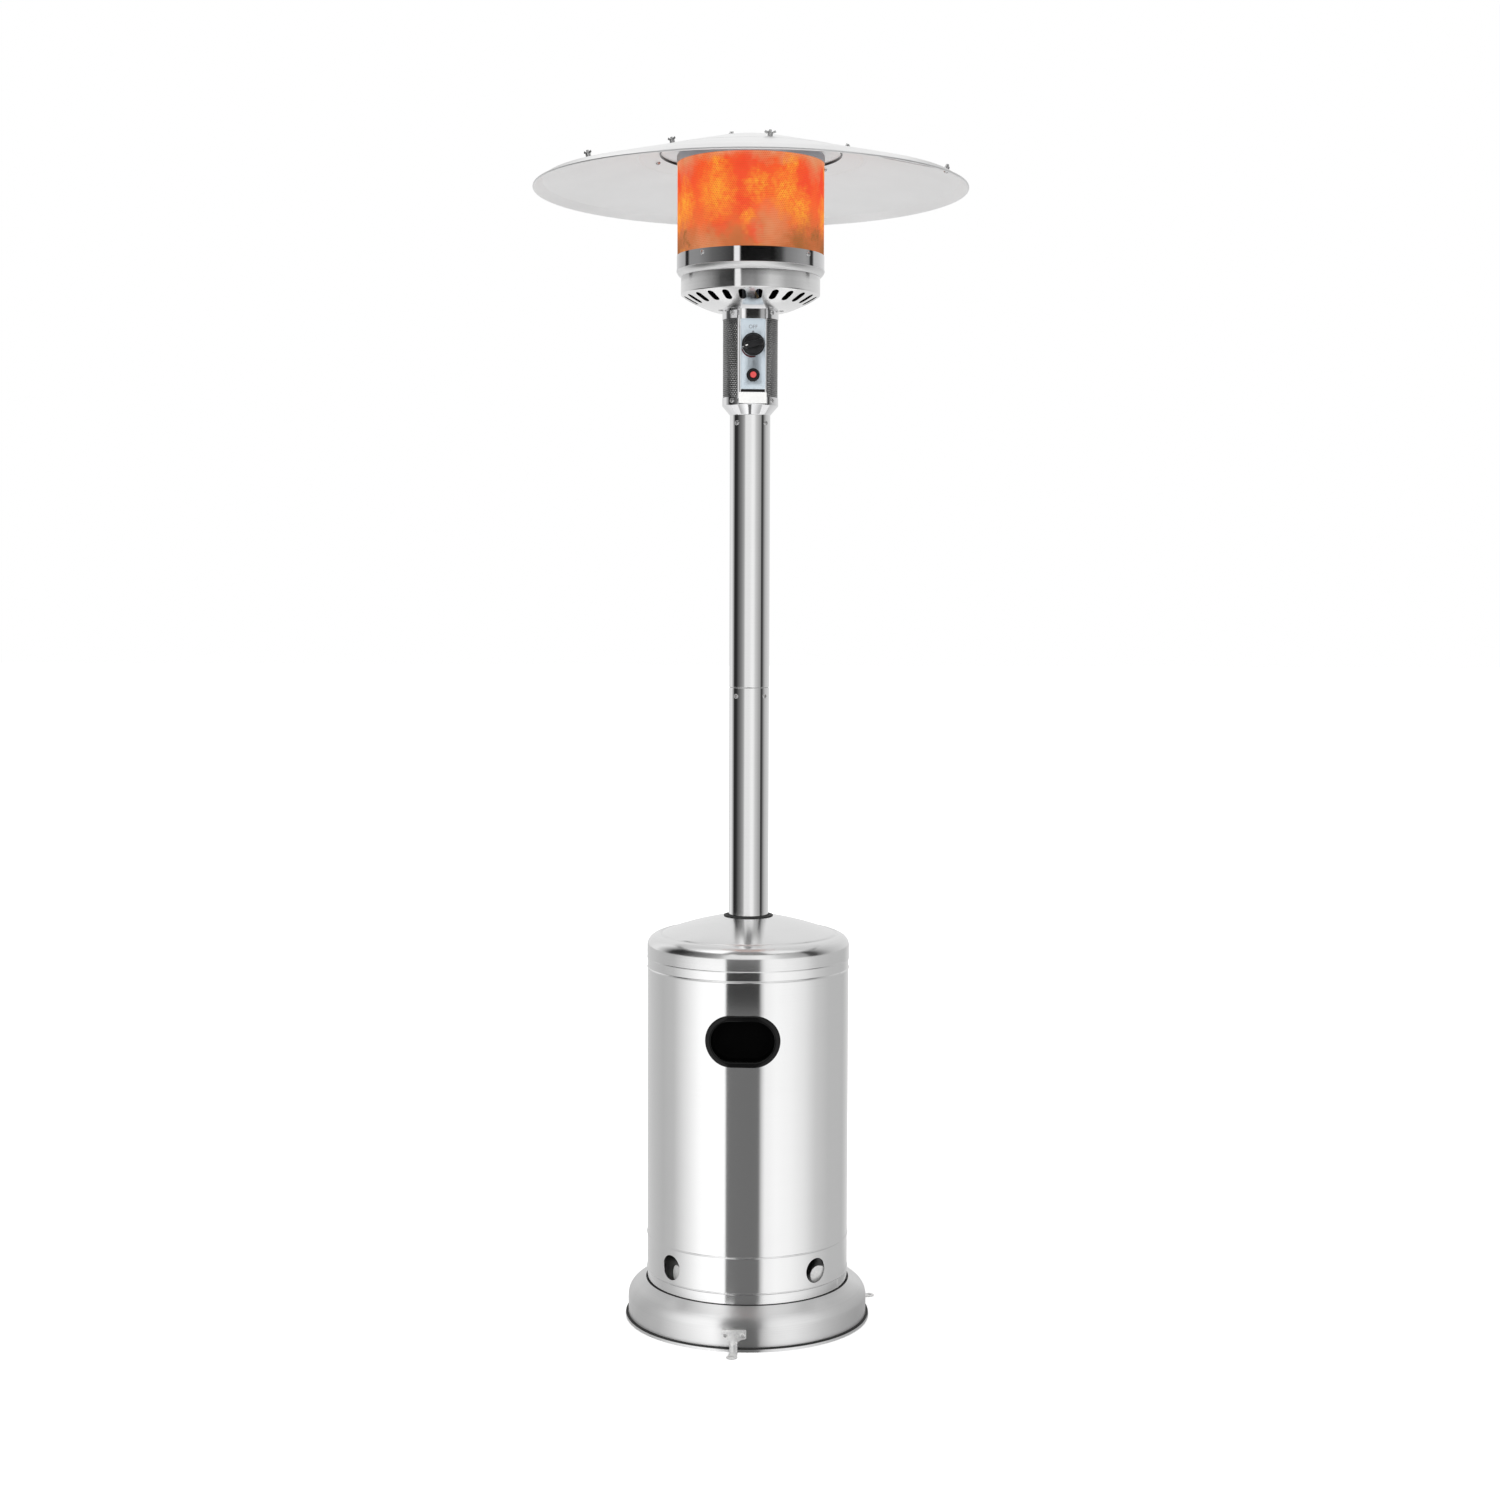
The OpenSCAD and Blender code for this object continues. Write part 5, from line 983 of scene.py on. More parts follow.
vent_turns = [45 + 90 * k + HOUSING_TURN for k in range(4)]
holes = [wall_hole(turn % 360, VENT_Z, VENT_HALF_TURN, vent_rows, VENT_R, VENT_R) for turn in vent_turns]
holes.append(wall_hole(HOUSING_TURN % 360, HANDLE_Z, HANDLE_HALF_TURN, handle_rows,
                       HANDLE_W / 2 + HANDLE_CLEAR, HANDLE_H / 2 + HANDLE_CLEAR))
piece("drum", holed_sheet(columns, rows, holes, wall_place), finishes["brushed_steel"], "tank_housing",
      ["housing_shell"], thickness=1.0)

# %% [markdown]
# ## Vent tabs
# Behind each vent a pale round tab shows, set off to one side and a little low. It is lofted from a few
# rings, so its edge is soft, and leans to follow the drum.

# %% Vent tabs
TAB_R, TAB_BEHIND, TAB_LEAN, TAB_STEPS = 17.0, 8.0, 0.25, 40


def vent_tab(turn, right, down):
    rings = [(TAB_R * 0.5, 1.4), (TAB_R - 0.4, 1.2), (TAB_R, 0.6), (TAB_R - 0.6, 0.0)]
    loops = []
    for r, rise in rings:
        loop = []
        for a in (math.tau * k / TAB_STEPS for k in range(TAB_STEPS)):
            x, y = r * math.cos(a), r * math.sin(a)
            out = housing_r - TAB_BEHIND - rise + TAB_LEAN * x
            loop.append(front_place(turn, right + x, out, VENT_Z - down + y))
        loops.append(loop)
    return loft(loops)


tab_shifts = ((14, 12), (8, 9), (8, 9), (9, 12))
tabs = [vent_tab(turn, *shift) for turn, shift in zip(vent_turns, tab_shifts)]
piece("vent_tabs", joined(*tabs), pale_zinc, "tank_housing")

# %% [markdown]
# ## Housing cap and grommet
# The cap is spun: a short skirt with a hem, a round shoulder, a crease with a ridge and a groove, and a low
# dome up to the post. Each stretch is an arc, a few points or a formula, joined into one section and
# turned. A rubber grommet lines the hole and slides on the post.

# %% Cap section
cap_r, cap_top = reach("housing_top") - 0.8, high("housing_top")
CREASE_IN, CREASE_UP, SHOULDER_DROP, SHOULDER_END = 21.0, 24.5, -2.5, math.radians(75)
crease_r, crease_z = cap_r - CREASE_IN, shoulder_z + CREASE_UP
wide, tall = CREASE_IN / (1 - math.cos(SHOULDER_END)), (CREASE_UP + SHOULDER_DROP) / math.sin(SHOULDER_END)
shoulder_low = shoulder_z - SHOULDER_DROP
shoulder = [Vector((cap_r - wide * (1 - math.cos(a)), shoulder_low + tall * math.sin(a)))
            for a in (SHOULDER_END * k / 16 for k in range(17))]
RIDGE, GROOVE, FOOT_AT = 0.9, 2.8, 5.6
crease = [Vector((crease_r - x, crease_z + z)) for x, z in (
    (0.7, RIDGE * 0.6), (1.4, RIDGE), (2.1, RIDGE * 0.6), (2.6, -GROOVE * 0.2), (3.1, -GROOVE * 0.65),
    (3.8, -GROOVE), (4.8, -GROOVE))]
FOOT_R, FOOT_FROM, FOOT_TO = 8.0, math.radians(65), math.radians(21)
foot_r, foot_low = crease_r - FOOT_AT, crease_z - GROOVE * 0.7
foot = [Vector((foot_r - FOOT_R * (math.sin(FOOT_FROM) - math.sin(a)),
                foot_low + FOOT_R * (math.cos(a) - math.cos(FOOT_FROM))))
        for a in (FOOT_FROM + (FOOT_TO - FOOT_FROM) * k / 6 for k in range(7))]
CAP_HOLE, DOME_BULGE = 45.0, 3.0
dome_r, dome_low = foot[-1]
dome = [Vector((dome_r - (dome_r - CAP_HOLE) * s,
                dome_low + (cap_top - dome_low) * s + DOME_BULGE * 4 * s * (1 - s)))
        for s in [0.01] + [k / 24 for k in range(1, 25)]]
print("Crease at", round(crease_r, 1), "mm, dome", round(cap_top - dome_low, 1), "mm high")

# %% Housing cap and grommet
CAP_SKIRT, HEM = 22.0, 0.3
hem_points = ((-1.0, 0), (0, 0.2), (HEM, 0.8), (HEM, 1.6), (0, 2.4), (0, 2.8))
skirt = [Vector((cap_r + x, shoulder_z - CAP_SKIRT + z)) for x, z in hem_points]
cap_path = skirt + [Vector((cap_r, shoulder_low - 0.5))] + shoulder + crease + foot + dome
piece("cap", revolve(sheet(cap_path, 1.0), 240), finishes["cap_steel"], "tank_housing",
      ["housing_top"], sharp=60)
ring_low, bore_r, lip_r = low("post_grommet"), post_r + 0.5, CAP_HOLE + 2
grommet = rounded([(bore_r, ring_low), (CAP_HOLE - 0.3, ring_low), (CAP_HOLE - 0.3, cap_top - 0.5),
                   (lip_r, cap_top - 0.6, 0.4), (lip_r, cap_top + 1.6, 0.9),
                   (CAP_HOLE - 3, cap_top + 2.4, 1.0), (bore_r, cap_top + 1.4, 0.6)], closed=True, steps=4)
piece("grommet", revolve(grommet, 120), finishes["black_rubber"], "tank_housing",
      ["post_grommet"])

# %% [markdown]
# ## Hand pocket
# A black moulding clips into the long opening: a rounded bezel that follows the drum, and a pocket deep
# enough for four fingers. Both are lofted through one ring of points after another. Each ring says how much
# it grows past the opening, how far it stands out, and how much it follows the drum's curve.


# %% Hand pocket
def stadium(half_w, half_h, steps=28):
    ring = []
    for side in (1, -1):
        for k in range(steps + 1):
            a = math.radians(-90 + 180 * k / steps)
            ring.append((side * (half_w - half_h + half_h * math.cos(a)), side * half_h * math.sin(a)))
    return ring


def pocket_ring(grow, out, bend):
    ring = []
    for x, z in stadium(HANDLE_W / 2 + grow, HANDLE_H / 2 + grow):
        surface = math.sqrt(housing_r ** 2 - x ** 2) * bend + housing_r * (1 - bend)
        ring.append(front_place(HOUSING_TURN, x, surface + out, HANDLE_Z + z))
    return ring


bezel_rings = [(1.6, -3.2, 1), (2.4, -0.4, 1), (9.8, -0.2, 1), (10.5, 0.3, 1), (10.5, 1.4, 1), (10.1, 2.4, 1),
               (9.2, 3.2, 1), (8.0, 3.5, 1), (3.0, 3.5, 1), (1.4, 3.1, 1), (0.3, 2.2, 1), (0, 1.0, 1),
               (-0.2, -3.0, 1), (1.0, -3.2, 1), (1.6, -3.2, 1)]
piece("pocket_bezel", loft([pocket_ring(*ring) for ring in bezel_rings], caps=False), glossy_black,
      "tank_housing", ["handle_cup"])
# The pocket's near-black, unshiny finish is painted shade of the deep hollow.
cavity_rings = [(-9, -29.8, 0), (-3, -29.8, 0), (1.4, -26, 0), (1.6, -3.0, 1), (0.6, -2.6, 1),
                (-0.3, -3.2, 1), (-1.4, -22, 0.1), (-2.4, -26, 0), (-5.0, -28, 0), (-9, -28.3, 0)]
piece("pocket_cavity", loft([pocket_ring(*ring) for ring in cavity_rings]), cavity_painted_shade, "tank_housing")

# %% [markdown]
# ## Post
# Two tubes. The upper one is swaged to slip inside the lower, and the joint shows as a fine dark step held
# by screws. Both are drawn in section with their wall, so the step has real depth.

# %% Post tubes
TUBE_T, SWAGE_CLEAR = 1.6, 0.4
lower_low, seam_z, bore = low("lower_post"), high("lower_post"), post_r - TUBE_T
lower_path = rounded([(post_r - 0.4, lower_low), (post_r, lower_low + 0.4), (post_r, seam_z, 0.7),
                      (bore, seam_z)])
lower_path += [Vector((bore, lower_low))]
piece("lower_tube", revolve(lower_path, 120), finishes["post_steel"],
      covers=["lower_post"])
swage_low, post_top, swage_r = low("upper_post"), high("upper_post"), bore - SWAGE_CLEAR
upper_path = rounded([(swage_r, swage_low), (swage_r, seam_z + 0.4, 0.3), (post_r, seam_z + 1.4, 1.0),
                      (post_r, post_top, 0.6), (bore, post_top)])
inside = ((bore, seam_z + 2), (swage_r - TUBE_T, seam_z), (swage_r - TUBE_T, swage_low))
upper_path += [Vector(point) for point in inside]
piece("upper_tube", revolve(upper_path, 120), finishes["post_steel"],
      covers=["upper_post"])

# %% [markdown]
# ## Neck
# A chromed cone widens the post to the neck. Above the screen an upper ring carries the burner bowl. The
# bowl's floor sits a little higher in the picture than on the frame, so the upper ring and the top of the
# channel rise with it.

# %% Neck rings
neck_r, cup_low, cup_top = reach("neck_cup"), low("neck_cup"), high("neck_cup")
RING_Z, RING_T, RING_RAISE, FLOOR_RAISE = 1738.0, 1.2, 4.5, 8.0
cup_path = rounded([(post_r - 2, cup_low), (post_r - 2, post_top - 3, 1), (post_r + 0.3, post_top + 0.6, 0.8),
                    (neck_r, RING_Z, 3), (neck_r, cup_top - 0.2)])
piece("cone", revolve(sheet(cup_path, RING_T), 144), finishes["chrome"], covers=["neck_cup"])
top_low, top_high = low("neck_top_ring") + RING_RAISE, high("neck_top_ring") + FLOOR_RAISE
top_path = rounded([(neck_r, top_low), (neck_r, top_high - 1, 1.5), (reach("neck_top_ring"), top_high - 1)])
piece("top_ring", revolve(sheet(top_path, RING_T), 144), finishes["chrome"],
      covers=["neck_top_ring"])

# %% [markdown]
# ## Perforated screens
# The neck's screen lets air to the burner, and the burner's screen glows. Both are a honeycomb of small
# cells, each with a hole, because a plain tube with a picture of holes would not catch the light inside
# them. The neck screen leaves a window for the control panel.

# %% Perforated screens
HEAD_TURN = 5.0
cell_corners = ((1, -1), (1, 1), (0, 2), (-1, 1), (-1, -1), (0, -2))


def honeycomb(radius, start_z, end_z, across, open_share, window=None):
    unit = math.tau * radius / across / (2 * math.sqrt(3))
    bands = int((end_z - start_z) / unit - 6) // 3
    first_z = start_z + (end_z - start_z - (3 * bands + 1) * unit) / 2 + 2 * unit
    index, verts, faces = {}, [], []

    def fresh(u, z):
        verts.append(round_place(180 * u / across, radius, z))
        return len(verts) - 1

    def corner(u, v):
        key = (u % (2 * across), v)
        if key not in index:
            index[key] = fresh(key[0], first_z + v * unit)
        return index[key]

    for row in range(bands):
        for cell in range(across):
            u, v = 2 * cell + row % 2, 3 * row
            turn = (180 * u / across - HEAD_TURN + 180) % 360 - 180
            if window and abs(turn) < window:
                continue
            outer = [corner(u + du, v + dv) for du, dv in cell_corners]
            inner = [fresh(u + du * open_share, first_z + (v + dv * open_share) * unit)
                     for du, dv in cell_corners]
            faces += [(outer[i], outer[(i + 1) % 6], inner[(i + 1) % 6], inner[i]) for i in range(6)]
    for u in range(2 * across):
        for v, side, hem, shift in ((0, -1, start_z, 0), (3 * (bands - 1), 1, end_z, (bands - 1) % 2)):
            zig = [corner(u + k, v + side * (2 if (u + k + shift) % 2 == 0 else 1)) for k in (0, 1)]
            edge = [fresh(u + k, hem) for k in (0, 1)]
            faces.append((zig[0], zig[1], edge[1], edge[0]))
    return verts, faces


NECK_CELLS, NECK_OPEN, NECK_WINDOW, SCREEN_T = 78, 0.6, 17, 0.8
neck_screen = honeycomb(reach("neck_screen"), low("neck_screen"), high("neck_screen") + RING_RAISE,
                        NECK_CELLS, NECK_OPEN, NECK_WINDOW)
piece("neck_air_screen", neck_screen, finishes["neck_mesh"], covers=["neck_screen"],
      thickness=SCREEN_T)

# %% [markdown]
# ## Control panel channel
# A folded channel stands before the neck's window and carries the controls. Its section is drawn from
# above, with a slightly bowed face that spreads its reflections, and repeated at a few heights. A slot is
# left open low down, with painted shade behind it: a black strip that stands in for the dark inside.


# %% Channel
def on_panel(x, out, z):
    return front_place(HEAD_TURN, x, out, z)


channel_low, channel_top = low("panel_channel"), high("panel_channel") + FLOOR_RAISE
PANEL_OUT, PANEL_HALF, SPLAY, PANEL_BACK, BOW = 57.0, 25.0, 4.0, 43.0, 0.7
SLOT_Z, SLOT_H, SLOT_HALF = 1762.4, 5.0, 22.6
slot_low, slot_top = SLOT_Z - SLOT_H / 2, SLOT_Z + SLOT_H / 2
fold = rounded([(-PANEL_HALF - SPLAY, PANEL_BACK), (-PANEL_HALF, PANEL_OUT - BOW, 2),
                (PANEL_HALF, PANEL_OUT - BOW, 2), (PANEL_HALF + SPLAY, PANEL_BACK)], steps=5)
half = len(fold) // 2
bowed = [Vector((SLOT_HALF * k / 8, PANEL_OUT - BOW * (k / 8) ** 2)) for k in range(-8, 9)]
left_side = [q for q in fold[:half] if q.x < -SLOT_HALF - 0.2]
right_side = [q for q in fold[half:] if q.x > SLOT_HALF + 0.2]
fold = left_side + bowed + right_side
slot_columns = [i for i, q in enumerate(fold[:-1]) if -SLOT_HALF - 0.01 <= q.x < SLOT_HALF - 0.01]
channel_rows = [channel_low, channel_low + 0.8, slot_low, slot_top, channel_top - 0.8, channel_top]
slot_row, n = channel_rows.index(slot_low), len(fold)
verts = [on_panel(p.x, p.y, z) for z in channel_rows for p in fold]
faces = [(r * n + c, r * n + c + 1, (r + 1) * n + c + 1, (r + 1) * n + c)
         for r in range(len(channel_rows) - 1) for c in range(n - 1)
         if not (r == slot_row and c in slot_columns)]
piece("channel", (verts, faces), finishes["chrome"], covers=["panel_channel"], thickness=1.2)

# %% [markdown]
# ## Control plate
# The pale plate has a raised border and holes for the knob's stem and the igniter. Its field is cut as a
# flat shape by Delaunay triangles, which take any outline with any holes, and the border is lofted round
# it.


# %% Plates with holes
def cut_plate(outline, openings, back, front, place):
    loops = [outline] + openings
    points = [Vector(p) for loop in loops for p in loop]
    edges, first = [], 0
    for loop in loops:
        edges += [(first + i, first + (i + 1) % len(loop)) for i in range(len(loop))]
        first += len(loop)
    flat, _, cells, *_ = delaunay_2d_cdt(points, edges, [], 5, 1e-4)
    triangles = [tuple(cell) for cell in cells]
    shapes = [([place(p.x, out, p.y) for p in flat], triangles) for out in (back, front)]
    for loop in loops:
        shapes.append(loft([[place(x, out, z) for x, z in loop] for out in (back, front)], caps=False))
    return joined(*shapes)


def circle(x, z, r, steps=40):
    turns = [math.tau * k / steps for k in range(steps)]
    return [(x + r * math.cos(a), z + r * math.sin(a)) for a in turns]


def box_outline(half, bottom, top, corner):
    corners = [(-half, bottom, corner), (half, bottom, corner), (half, top, corner), (-half, top, corner)]
    return [tuple(p) for p in rounded(corners, closed=True, steps=5)]


print("Plates ready to cut")

# %% Control plate
KNOB_Z, BUTTON_Z, STEM_HOLE, BUTTON_HOLE = 1847.0, 1791.0, 6, 9.8
PLATE_OUT, PLATE_HALF_W, BORDER, BORDER_UP, FIELD_IN = 58.2, 23.25, 2.2, 0.5, 0.2
plate_low, plate_top, field_out = low("control_plate"), high("control_plate"), PLATE_OUT - FIELD_IN


def plate_loop(inset, corner):
    return box_outline(PLATE_HALF_W - inset, plate_low + inset, plate_top - inset, corner)


plate_edge, plate_field = plate_loop(0, 2.5), plate_loop(BORDER, 1.6)
border_loops = ((plate_edge, PANEL_OUT), (plate_edge, PLATE_OUT - 0.3),
                (plate_loop(0.4, 2.2), PLATE_OUT + BORDER_UP),
                (plate_loop(BORDER - 0.7, 1.8), PLATE_OUT + BORDER_UP),
                (plate_field, field_out), (plate_field, PANEL_OUT))
border = loft([[on_panel(x, out, z) for x, z in loop] for loop, out in border_loops], caps=False)
stem_holes = [circle(0, KNOB_Z, STEM_HOLE), circle(0, BUTTON_Z, BUTTON_HOLE)]
field = cut_plate(plate_field, stem_holes, PANEL_OUT, field_out, on_panel)
piece("control_face", joined(border, field), finishes["control_print"],
      covers=["control_plate"])

# %% Bare tag, and painted shade behind the slot
TAG_T, TAG_WRAP, BACKING_HALF_H, BACKING_GROW = 0.7, 6, 4, 0.8
tag_path = [q for q in fold if q.y > PANEL_OUT - TAG_WRAP]
tag_rows = (channel_low + 0.6, channel_low + 1.0, slot_low - 1.0, slot_low - 0.6)
tag_loops = [[on_panel(q.x, q.y, z) for q in sheet(tag_path, TAG_T)] for z in tag_rows]
piece("bare_tag", loft(tag_loops), white_print)
# Painted shade: a black strip behind the slot stands in for the dark inside of the opening.
backing_half, backing_low, backing_top = SLOT_HALF + BACKING_GROW, SLOT_Z - BACKING_HALF_H, SLOT_Z + BACKING_HALF_H
backing_path = rounded([(-backing_half, backing_low, 2), (backing_half, backing_low, 2),
                       (backing_half, backing_top, 2), (-backing_half, backing_top, 2)], closed=True)
shade_backing = [tuple(q) for q in backing_path]
backing_shape = cut_plate(shade_backing, [], PANEL_OUT - 4.5, PANEL_OUT - 2.2, on_panel)
piece("slot_shade_backing", backing_shape, glossy_black)

# %% [markdown]
# ## Knob and igniter
# The gas knob is a moulded disc with a grip bar across it and a white tick at its pointer. It is drawn
# where it rests and rides the knob's body, so it turns and pushes with its joints. The igniter is a black
# bezel with a red button, which rides a body of its own.


# %% Knob
def turned_on_panel(profile, z, steps=64):
    return loft([[on_panel(x, out, y) for x, y in circle(0, z, max(r, CENTRE), steps)] for r, out in profile])


CENTRE, KNOB_BACK, KNOB_R, POINTER_FROM_OFF = 0.02, 62.2, 21.3, 105
disc = rounded([(CENTRE, KNOB_BACK), (KNOB_R - 0.9, KNOB_BACK), (KNOB_R, KNOB_BACK + 0.8),
                (KNOB_R, KNOB_BACK + 2.6, 0.9), (18.6, KNOB_BACK + 4.6, 1.6), (17.4, KNOB_BACK + 9.0, 1.6),
                (12, KNOB_BACK + 10.0), (CENTRE, KNOB_BACK + 10.2)])
pointer = math.radians(90 + POINTER_FROM_OFF)
along_x, along_z = math.cos(pointer), math.sin(pointer)


def knob_bar(half_l, half_w, up, shift=0.0):
    ring = [(x + shift, y) for x, y in stadium(half_l, half_w, 8)]
    return [on_panel(x * along_x - y * along_z, KNOB_BACK + up, KNOB_Z + x * along_z + y * along_x)
            for x, y in ring]


bar = loft([knob_bar(19.2, 7.6, 3.5), knob_bar(18.9, 6.9, 9), knob_bar(18.4, 6.2, 15),
            knob_bar(17.8, 5.6, 17.8), knob_bar(17.0, 4.8, 18.7), knob_bar(15.6, 3.4, 19)])
piece("knob", joined(turned_on_panel(disc, KNOB_Z), bar), finishes["black_plastic"], "control_knob",
      ["control_knob"])
tick = loft([knob_bar(2.4, 0.9, 17.4, 14.6), knob_bar(2.4, 0.9, 19.05, 14.2)])
tick_end = loft([knob_bar(2.0, 0.9, 3.0, 18.6), knob_bar(1.8, 0.8, 4.7, 18.4)])
piece("knob_tick", joined(tick, tick_end), white_print, "control_knob")

# %% Igniter
BEZEL_R, BEZEL_TOP, WELL_R, WELL_FLOOR, BUTTON_R = 12.2, 63.9, 6.4, 36, 5.8
bezel_profile = rounded([(9.4, 30), (9.4, PLATE_OUT), (BEZEL_R, PLATE_OUT - 0.1), (BEZEL_R, 62.2, 1.2),
                         (10.4, BEZEL_TOP, 1.0), (WELL_R + 0.5, BEZEL_TOP, 0.5), (WELL_R, 63.0),
                         (WELL_R, WELL_FLOOR), (CENTRE, WELL_FLOOR)])
piece("igniter_bezel", turned_on_panel(bezel_profile, BUTTON_Z, 48), finishes["black_plastic"],
      covers=["igniter_body"])
button_profile = rounded([(CENTRE, 50.6), (BUTTON_R, 50.6), (BUTTON_R, 67.2, 1.2), (CENTRE, 67.9)])
piece("igniter_cap", turned_on_panel(button_profile, BUTTON_Z, 40), finishes["red_plastic"], "igniter_button",
      ["igniter_button"])

# %% [markdown]
# ## Dial print
# A dark red wedge, three strokes, an arrow and the word OFF are printed round the knob. Each is a very thin
# plate on the control plate, so it follows the model and needs no picture. The word comes from Blender's
# own font.

# %% Dial marks
INK, WEDGE_FROM, WEDGE_SPAN, WEDGE_IN, WEDGE_W, WEDGE_STEPS = 0.12, 168, 92, 21.4, 2.6, 24
STROKES, STROKE_HALF, STROKE_IN, STROKE_OUT = (60, 90, 120), 1.2, 22.4, 24.6


def dial_point(clock, r):
    a = math.radians(90 - clock)
    return r * math.cos(a), KNOB_Z + r * math.sin(a)


def ink(loop):
    return cut_plate(loop, [], field_out, field_out + INK, on_panel)


def stroke(clock):
    left, right = clock - STROKE_HALF, clock + STROKE_HALF
    return ink([dial_point(left, STROKE_IN), dial_point(right, STROKE_IN), dial_point(right, STROKE_OUT),
                dial_point(left, STROKE_OUT)])


shares = [k / WEDGE_STEPS for k in range(WEDGE_STEPS + 1)]
wedge = [dial_point(WEDGE_FROM + WEDGE_SPAN * s, WEDGE_IN) for s in shares]
for s in reversed(shares):
    swell = WEDGE_W * math.sin(math.pi * (0.15 + 0.8 * s))
    wedge.append(dial_point(WEDGE_FROM + WEDGE_SPAN * s, WEDGE_IN + 0.5 + swell))
piece("dial_wedge", ink(wedge), dial_print)
arrow = ink([dial_point(-7, 22.6), dial_point(7, 22.6), dial_point(0, 26.4)])
piece("dial_marks", joined(*[stroke(clock) for clock in STROKES], arrow), dark_print)

# %% Dial word
WORD_SIZE, WORD_UP = 9.5, 29.6
letters = bpy.data.curves.new("off_letters", "FONT")
letters.body = "OFF"
letters.size = WORD_SIZE
letters.align_x = "CENTER"
letters.extrude = INK / 2
carrier = bpy.data.objects.new("off_carrier", letters)
word = bpy.data.meshes.new_from_object(carrier)
word_verts = [on_panel(v.co.x, field_out + INK / 2 + v.co.z, KNOB_Z + WORD_UP + v.co.y)
              for v in word.vertices]
word_faces = [tuple(p.vertices) for p in word.polygons]
bpy.data.objects.remove(carrier)
bpy.data.meshes.remove(word)
piece("dial_word", (word_verts, word_faces), dark_print)

# %% [markdown]
# ## Burner bowl
# A polished bowl with air slots round it. The dish is a sheet with openings, its height a power curve of
# the radius, and a turned side closes it up to the band.

# %% Bowl
bowl_r, band_z, bowl_low = reach("head_bowl"), low("head_band"), low("head_bowl") + FLOOR_RAISE
BOWL_FLOOR, BOWL_BAND, BOWL_POWER, BOWL_T = 65.8, 32.0, 1.35, 1.0
SLOTS, SLOT_IN, SLOT_OUT, SLOT_W, SLOT_COLUMNS = 24, 97.5, 124.5, 13.5, 8
dish_rise = band_z - BOWL_BAND - bowl_low


def dish_z(r):
    return bowl_low + dish_rise * max(0.0, (r - BOWL_FLOOR) / (bowl_r - BOWL_FLOOR)) ** BOWL_POWER


def dish_place(turn, r):
    return round_place(turn, r, dish_z(r))


columns = [360 / SLOTS / SLOT_COLUMNS * i for i in range(SLOTS * SLOT_COLUMNS)]
floor_rows = [neck_r + 0.4, 60.0, BOWL_FLOOR, 70.0, 76.0, 82.0, 88.0]
slot_rows = [94.0, 96.5, 99.5, 103.0, 107.0, 111.0, 115.0, 119.0, 122.5, 125.0, 127.2]
rows = floor_rows + slot_rows
slot_middle, slot_half = (SLOT_IN + SLOT_OUT) / 2, (SLOT_OUT - SLOT_IN) / 2


def bowl_hole(k):
    middle = 360 / SLOTS * (k + 0.5)

    def edge(u, r):
        a = math.radians(u - middle)
        y, x = stadium_edge(r * math.cos(a) - slot_middle, r * math.sin(a), slot_half, SLOT_W / 2)
        return middle + math.degrees(math.atan2(x, slot_middle + y)), math.hypot(x, slot_middle + y)

    return SLOT_COLUMNS * k, SLOT_COLUMNS * (k + 1), len(floor_rows), len(rows) - 1, edge


dish = holed_sheet(columns, rows, [bowl_hole(k) for k in range(SLOTS)], dish_place)
piece("bowl", dish, finishes["bowl_steel"], covers=["head_bowl"], thickness=BOWL_T)
knee = rounded([(rows[-1], dish_z(rows[-1])), (bowl_r, dish_z(bowl_r), 1.0), (bowl_r, band_z)])
piece("bowl_side", revolve(sheet(knee, -BOWL_T), 192), finishes["polished_steel"])

# %% [markdown]
# ## Burner band
# A chromed band carries the screen. Under it a lip curls in towards the bowl, drawn as an arc, and a deck
# closes the bowl from above. The deck is a little smaller than on the frame, so that it stays inside the
# curl.

# %% Band, lip and deck
band_r, band_top, LIP, LIP_H, BAND_T = reach("head_band") - 1.0, high("head_band"), 1.0, 11.7, 0.9
lip_top, LIP_FROM, LIP_TO = band_z + LIP_H, math.radians(18), math.radians(58)
lip_bend = (lip_top - band_z - 0.4) / (math.sin(LIP_TO) - math.sin(LIP_FROM))
lip_turns = [LIP_TO + (LIP_FROM - LIP_TO) * k / 10 for k in range(11)]
lip_curl = [Vector((band_r + LIP * 0.7 - lip_bend * (math.cos(LIP_FROM) - math.cos(a)),
                    lip_top - lip_bend * (math.sin(a) - math.sin(LIP_FROM)))) for a in lip_turns]
lip_path = [Vector((bowl_r - 6, band_z + 0.6))] + lip_curl
lip_path += [Vector((band_r + LIP * 0.4, lip_top + 0.5)), Vector((band_r - 0.6, lip_top + 0.5))]
piece("band_lip", revolve(sheet(lip_path, BAND_T), 180), finishes["reflector_sheet"])
band_path = rounded([(band_r - 0.6, lip_top - 0.8), (band_r, lip_top, 0.3), (band_r, band_top - 0.2)])
piece("band", revolve(sheet(band_path, BAND_T), 180), finishes["chrome"], covers=["head_band"])
deck_low, deck_top = low("burner_deck"), high("burner_deck")
deck_in, deck_r = reach("mixer_tube") - 4, lip_curl[0].x - BAND_T
deck = rounded([(deck_in, deck_low), (deck_r, deck_low, 0.3), (deck_r, deck_top, 0.3), (deck_in, deck_top)],
               closed=True)
piece("deck", revolve(deck, 120), finishes["heated_steel"], covers=["burner_deck"])
print("Lip from", round(lip_curl[0].x, 1), "to", round(lip_curl[-1].x, 1), "mm, deck", round(deck_r, 1), "mm")

# %% [markdown]
# ## Glowing screen and its lid
# The screen is the same honeycomb with finer cells. A gauze just inside it shows dim red through the holes,
# as the far side of the hot screen would, and a grey lid closes it below the reflector.

